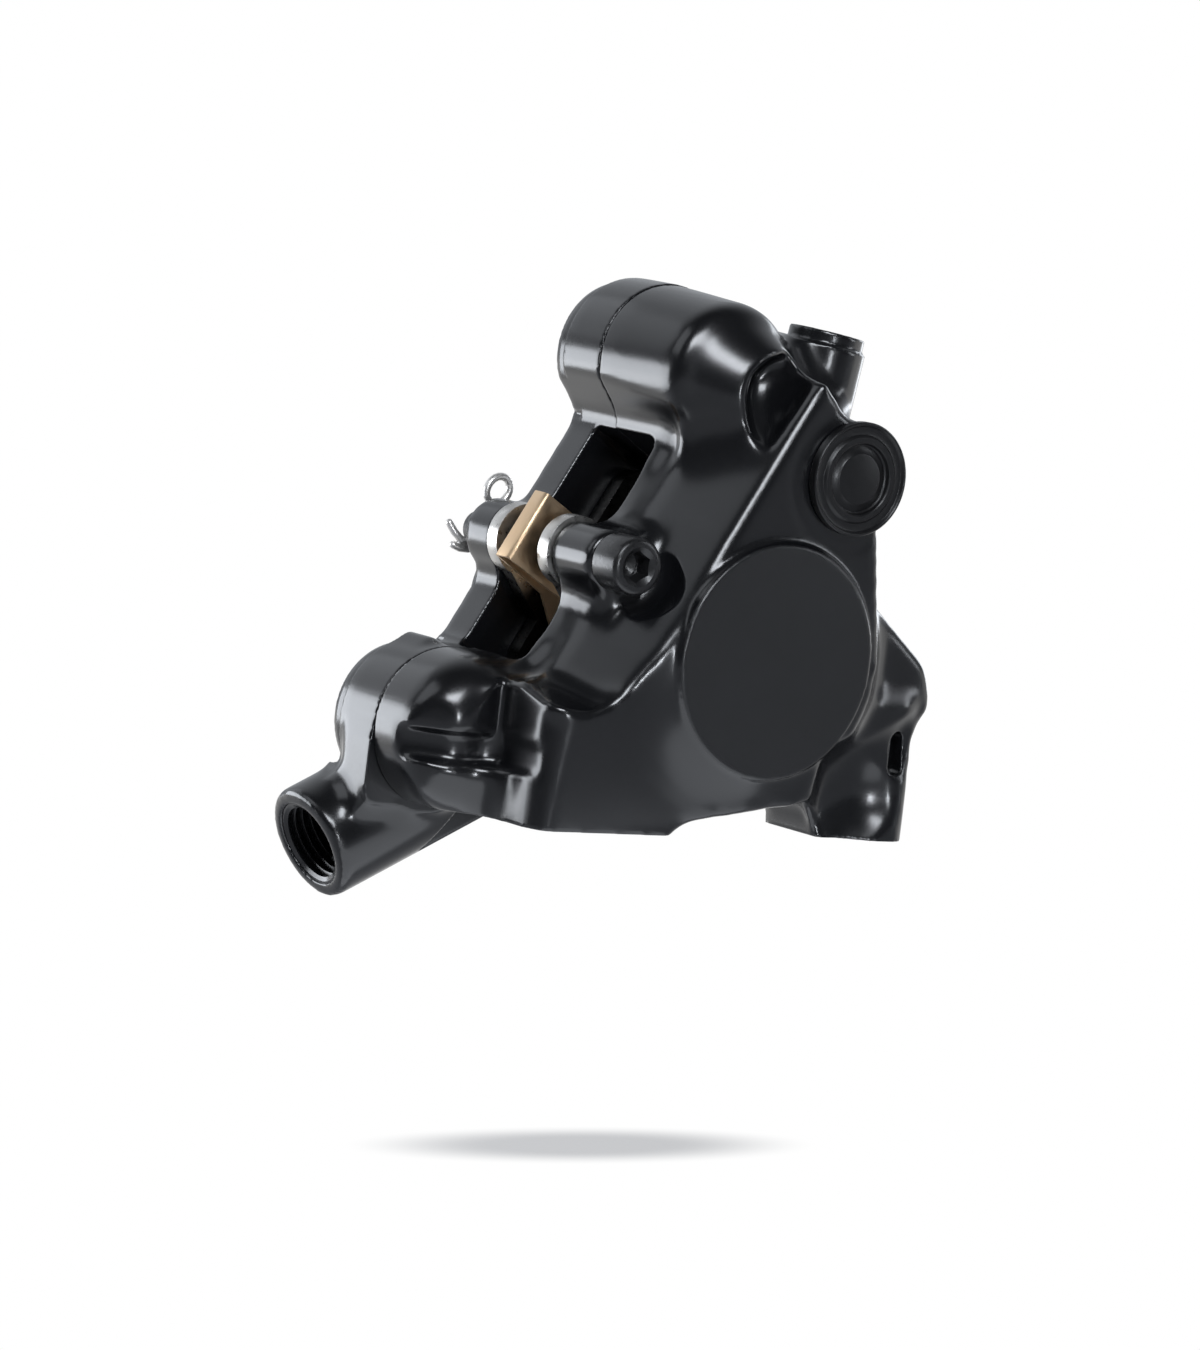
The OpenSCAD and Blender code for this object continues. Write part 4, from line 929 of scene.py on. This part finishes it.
def setCamera(p):
    data = bpy.data.cameras.new("photoCamera")
    data.sensor_fit = "VERTICAL"
    data.sensor_height = p["sensor"]
    data.lens = p["lens"]
    data.clip_start, data.clip_end = p["sight"]
    camera = bpy.data.objects.new("photoCamera", data)
    bpy.context.scene.collection.objects.link(camera)
    right, up, back = (p[k].normalized() for k in ("right", "up", "back"))
    spot = (back * p["distance"] + right * p["aim"][0] + up * p["aim"][1]) * mm
    turn = Matrix((right, up, back)).transposed().to_4x4()
    camera.matrix_world = Matrix.Translation(spot) @ turn
    bpy.context.scene.camera = camera


setCamera(shot)

studio = {
    "floorSize": 4.0, "middle": Vector((-6, 9, 24)), "floorTip": math.radians(6),
    "backdrop": (-0.1, 0.7, 0.06, 0.7), "floorColour": (0.36, 0.36, 0.37), "floorRough": 0.9,
    "whiteFrom": (10, 90), "shadowAt": (-13.1, -34.1), "shadowSize": Vector((26, 12, flatten)),
    "shadowFade": (0.35, 1.0, 0.42, 1.0),
    "lampColour": (0.90, 0.94, 1.0), "boxes": {
        "leftBackBox": {"from": (-0.150, 0.150, 0.015), "size": (0.16, 0.09), "power": 0.28},
        "upperLeftBox": {"from": (-0.44, 0.12, 0.40), "size": (0.34, 0.34), "power": 0.40},
        "backTopBox": {"from": (-0.20, 0.48, 0.30), "size": (0.40, 0.30), "power": 0.20},
        "frontTopBox": {"from": (-0.22, -0.42, 0.38), "size": (0.30, 0.16), "power": 2.0},
        "rightBox": {"from": (0.46, -0.36, 0.20), "size": (0.08, 0.28), "power": 0.35},
        "frontStrip": {"from": (-0.117, -0.580, 0.000), "size": (0.05, 0.20), "power": 1.2},
        "underBox": {"from": (-0.010, -0.010, -0.028), "size": (0.08, 0.08), "power": 0.02},
        "rightBackBox": {"from": (0.40, 0.16, 0.06), "size": (0.10, 0.34), "power": 0.4},
    },
}


def addSoftbox(name, p, middle):
    data = bpy.data.lights.new(name, "AREA")
    data.shape = "RECTANGLE"
    data.size, data.size_y = p["size"]
    data.energy = p["power"]
    data.color = studio["lampColour"]
    lamp = bpy.data.objects.new(name, data)
    bpy.context.scene.collection.objects.link(lamp)
    lamp.location = Vector(p["from"])
    lamp.rotation_euler = (Vector(p["from"]) - middle * mm).to_track_quat("Z", "Y").to_euler()


def makeWorld(p):
    # white to the camera, and a backdrop that reflections see brightest behind the part
    world = bpy.data.worlds.new("paleStudio")
    world.use_nodes = True
    tree = world.node_tree
    back = tree.nodes["Background"]
    path = tree.nodes.new("ShaderNodeLightPath")
    white = tree.nodes.new("ShaderNodeBackground")
    white.inputs["Color"].default_value = (1, 1, 1, 1)
    back.inputs["Color"].default_value = (*p["lampColour"], 1)
    coords = tree.nodes.new("ShaderNodeTexCoord")
    facing = tree.nodes.new("ShaderNodeVectorMath")
    facing.operation = "DOT_PRODUCT"
    facing.inputs[1].default_value = -shot["back"]
    tree.links.new(coords.outputs["Generated"], facing.inputs[0])
    tree.links.new(mapValue(tree, facing.outputs["Value"], p["backdrop"], "SMOOTHSTEP"), back.inputs["Strength"])
    seen = tree.nodes.new("ShaderNodeMixShader")
    tree.links.new(path.outputs["Is Camera Ray"], seen.inputs["Fac"])
    tree.links.new(back.outputs["Background"], seen.inputs[1])
    tree.links.new(white.outputs["Background"], seen.inputs[2])
    tree.links.new(seen.outputs["Shader"], tree.nodes["World Output"].inputs["Surface"])
    bpy.context.scene.world = world


def makeFloor(p):
    # white with a soft shadow, dark to what it would light from below, and clear from under it
    freshStart()
    right, up, back = (shot[k].normalized() for k in ("right", "up", "back"))
    across = right * p["shadowAt"][0] + up * p["shadowAt"][1]
    away = back * math.cos(p["floorTip"]) - up * math.sin(p["floorTip"])
    level = Matrix((right, -away, right.cross(-away))).transposed()
    bpy.ops.mesh.primitive_plane_add(size=p["floorSize"])
    bpy.context.object.matrix_world = Matrix.Translation(across * mm) @ level.to_4x4()
    floor = settle("paleFloor")
    material, tree, shader, coords = startMaterial("paleFloorPaint")
    path = tree.nodes.new("ShaderNodeLightPath")
    glow = tree.nodes.new("ShaderNodeEmission")
    ellipse = tree.nodes.new("ShaderNodeMapping")
    ellipse.vector_type = "TEXTURE"
    ellipse.inputs["Location"].default_value = across * mm
    ellipse.inputs["Rotation"].default_value = level.to_euler()
    ellipse.inputs["Scale"].default_value = p["shadowSize"] * mm
    distance = tree.nodes.new("ShaderNodeVectorMath")
    distance.operation = "LENGTH"
    tree.links.new(coords, ellipse.inputs["Vector"])
    tree.links.new(ellipse.outputs["Vector"], distance.inputs[0])
    fade = mapValue(tree, distance.outputs["Value"], p["shadowFade"], "SMOOTHSTEP")
    behind = measure(tree, coords, across, level.to_euler(), "Y")
    glossy = combine(tree, "MULTIPLY", path.outputs["Is Glossy Ray"], fadeBetween(tree, behind, *p["whiteFrom"]))
    seenWhite = combine(tree, "MAXIMUM", path.outputs["Is Camera Ray"], glossy)
    amount = combine(tree, "MULTIPLY", fade, seenWhite)
    mix = tree.nodes.new("ShaderNodeMixShader")
    tree.links.new(amount, mix.inputs["Fac"])
    shader.inputs["Base Color"].default_value = (*p["floorColour"], 1)
    shader.inputs["Roughness"].default_value = p["floorRough"]
    shader.inputs["Specular IOR Level"].default_value = 0.0
    tree.links.new(shader.outputs["BSDF"], mix.inputs[1])
    tree.links.new(glow.outputs["Emission"], mix.inputs[2])
    under = tree.nodes.new("ShaderNodeNewGeometry")
    clear = tree.nodes.new("ShaderNodeBsdfTransparent")
    sided = tree.nodes.new("ShaderNodeMixShader")
    tree.links.new(under.outputs["Backfacing"], sided.inputs["Fac"])
    tree.links.new(mix.outputs["Shader"], sided.inputs[1])
    tree.links.new(clear.outputs["BSDF"], sided.inputs[2])
    tree.links.new(sided.outputs["Shader"], tree.nodes["Material Output"].inputs["Surface"])
    dress(floor, material)


makeWorld(studio)
makeFloor(studio)
for boxName, box in studio["boxes"].items():
    addSoftbox(boxName, box, studio["middle"])
bpy.context.scene.view_settings.view_transform = "Standard"
print("studio made")
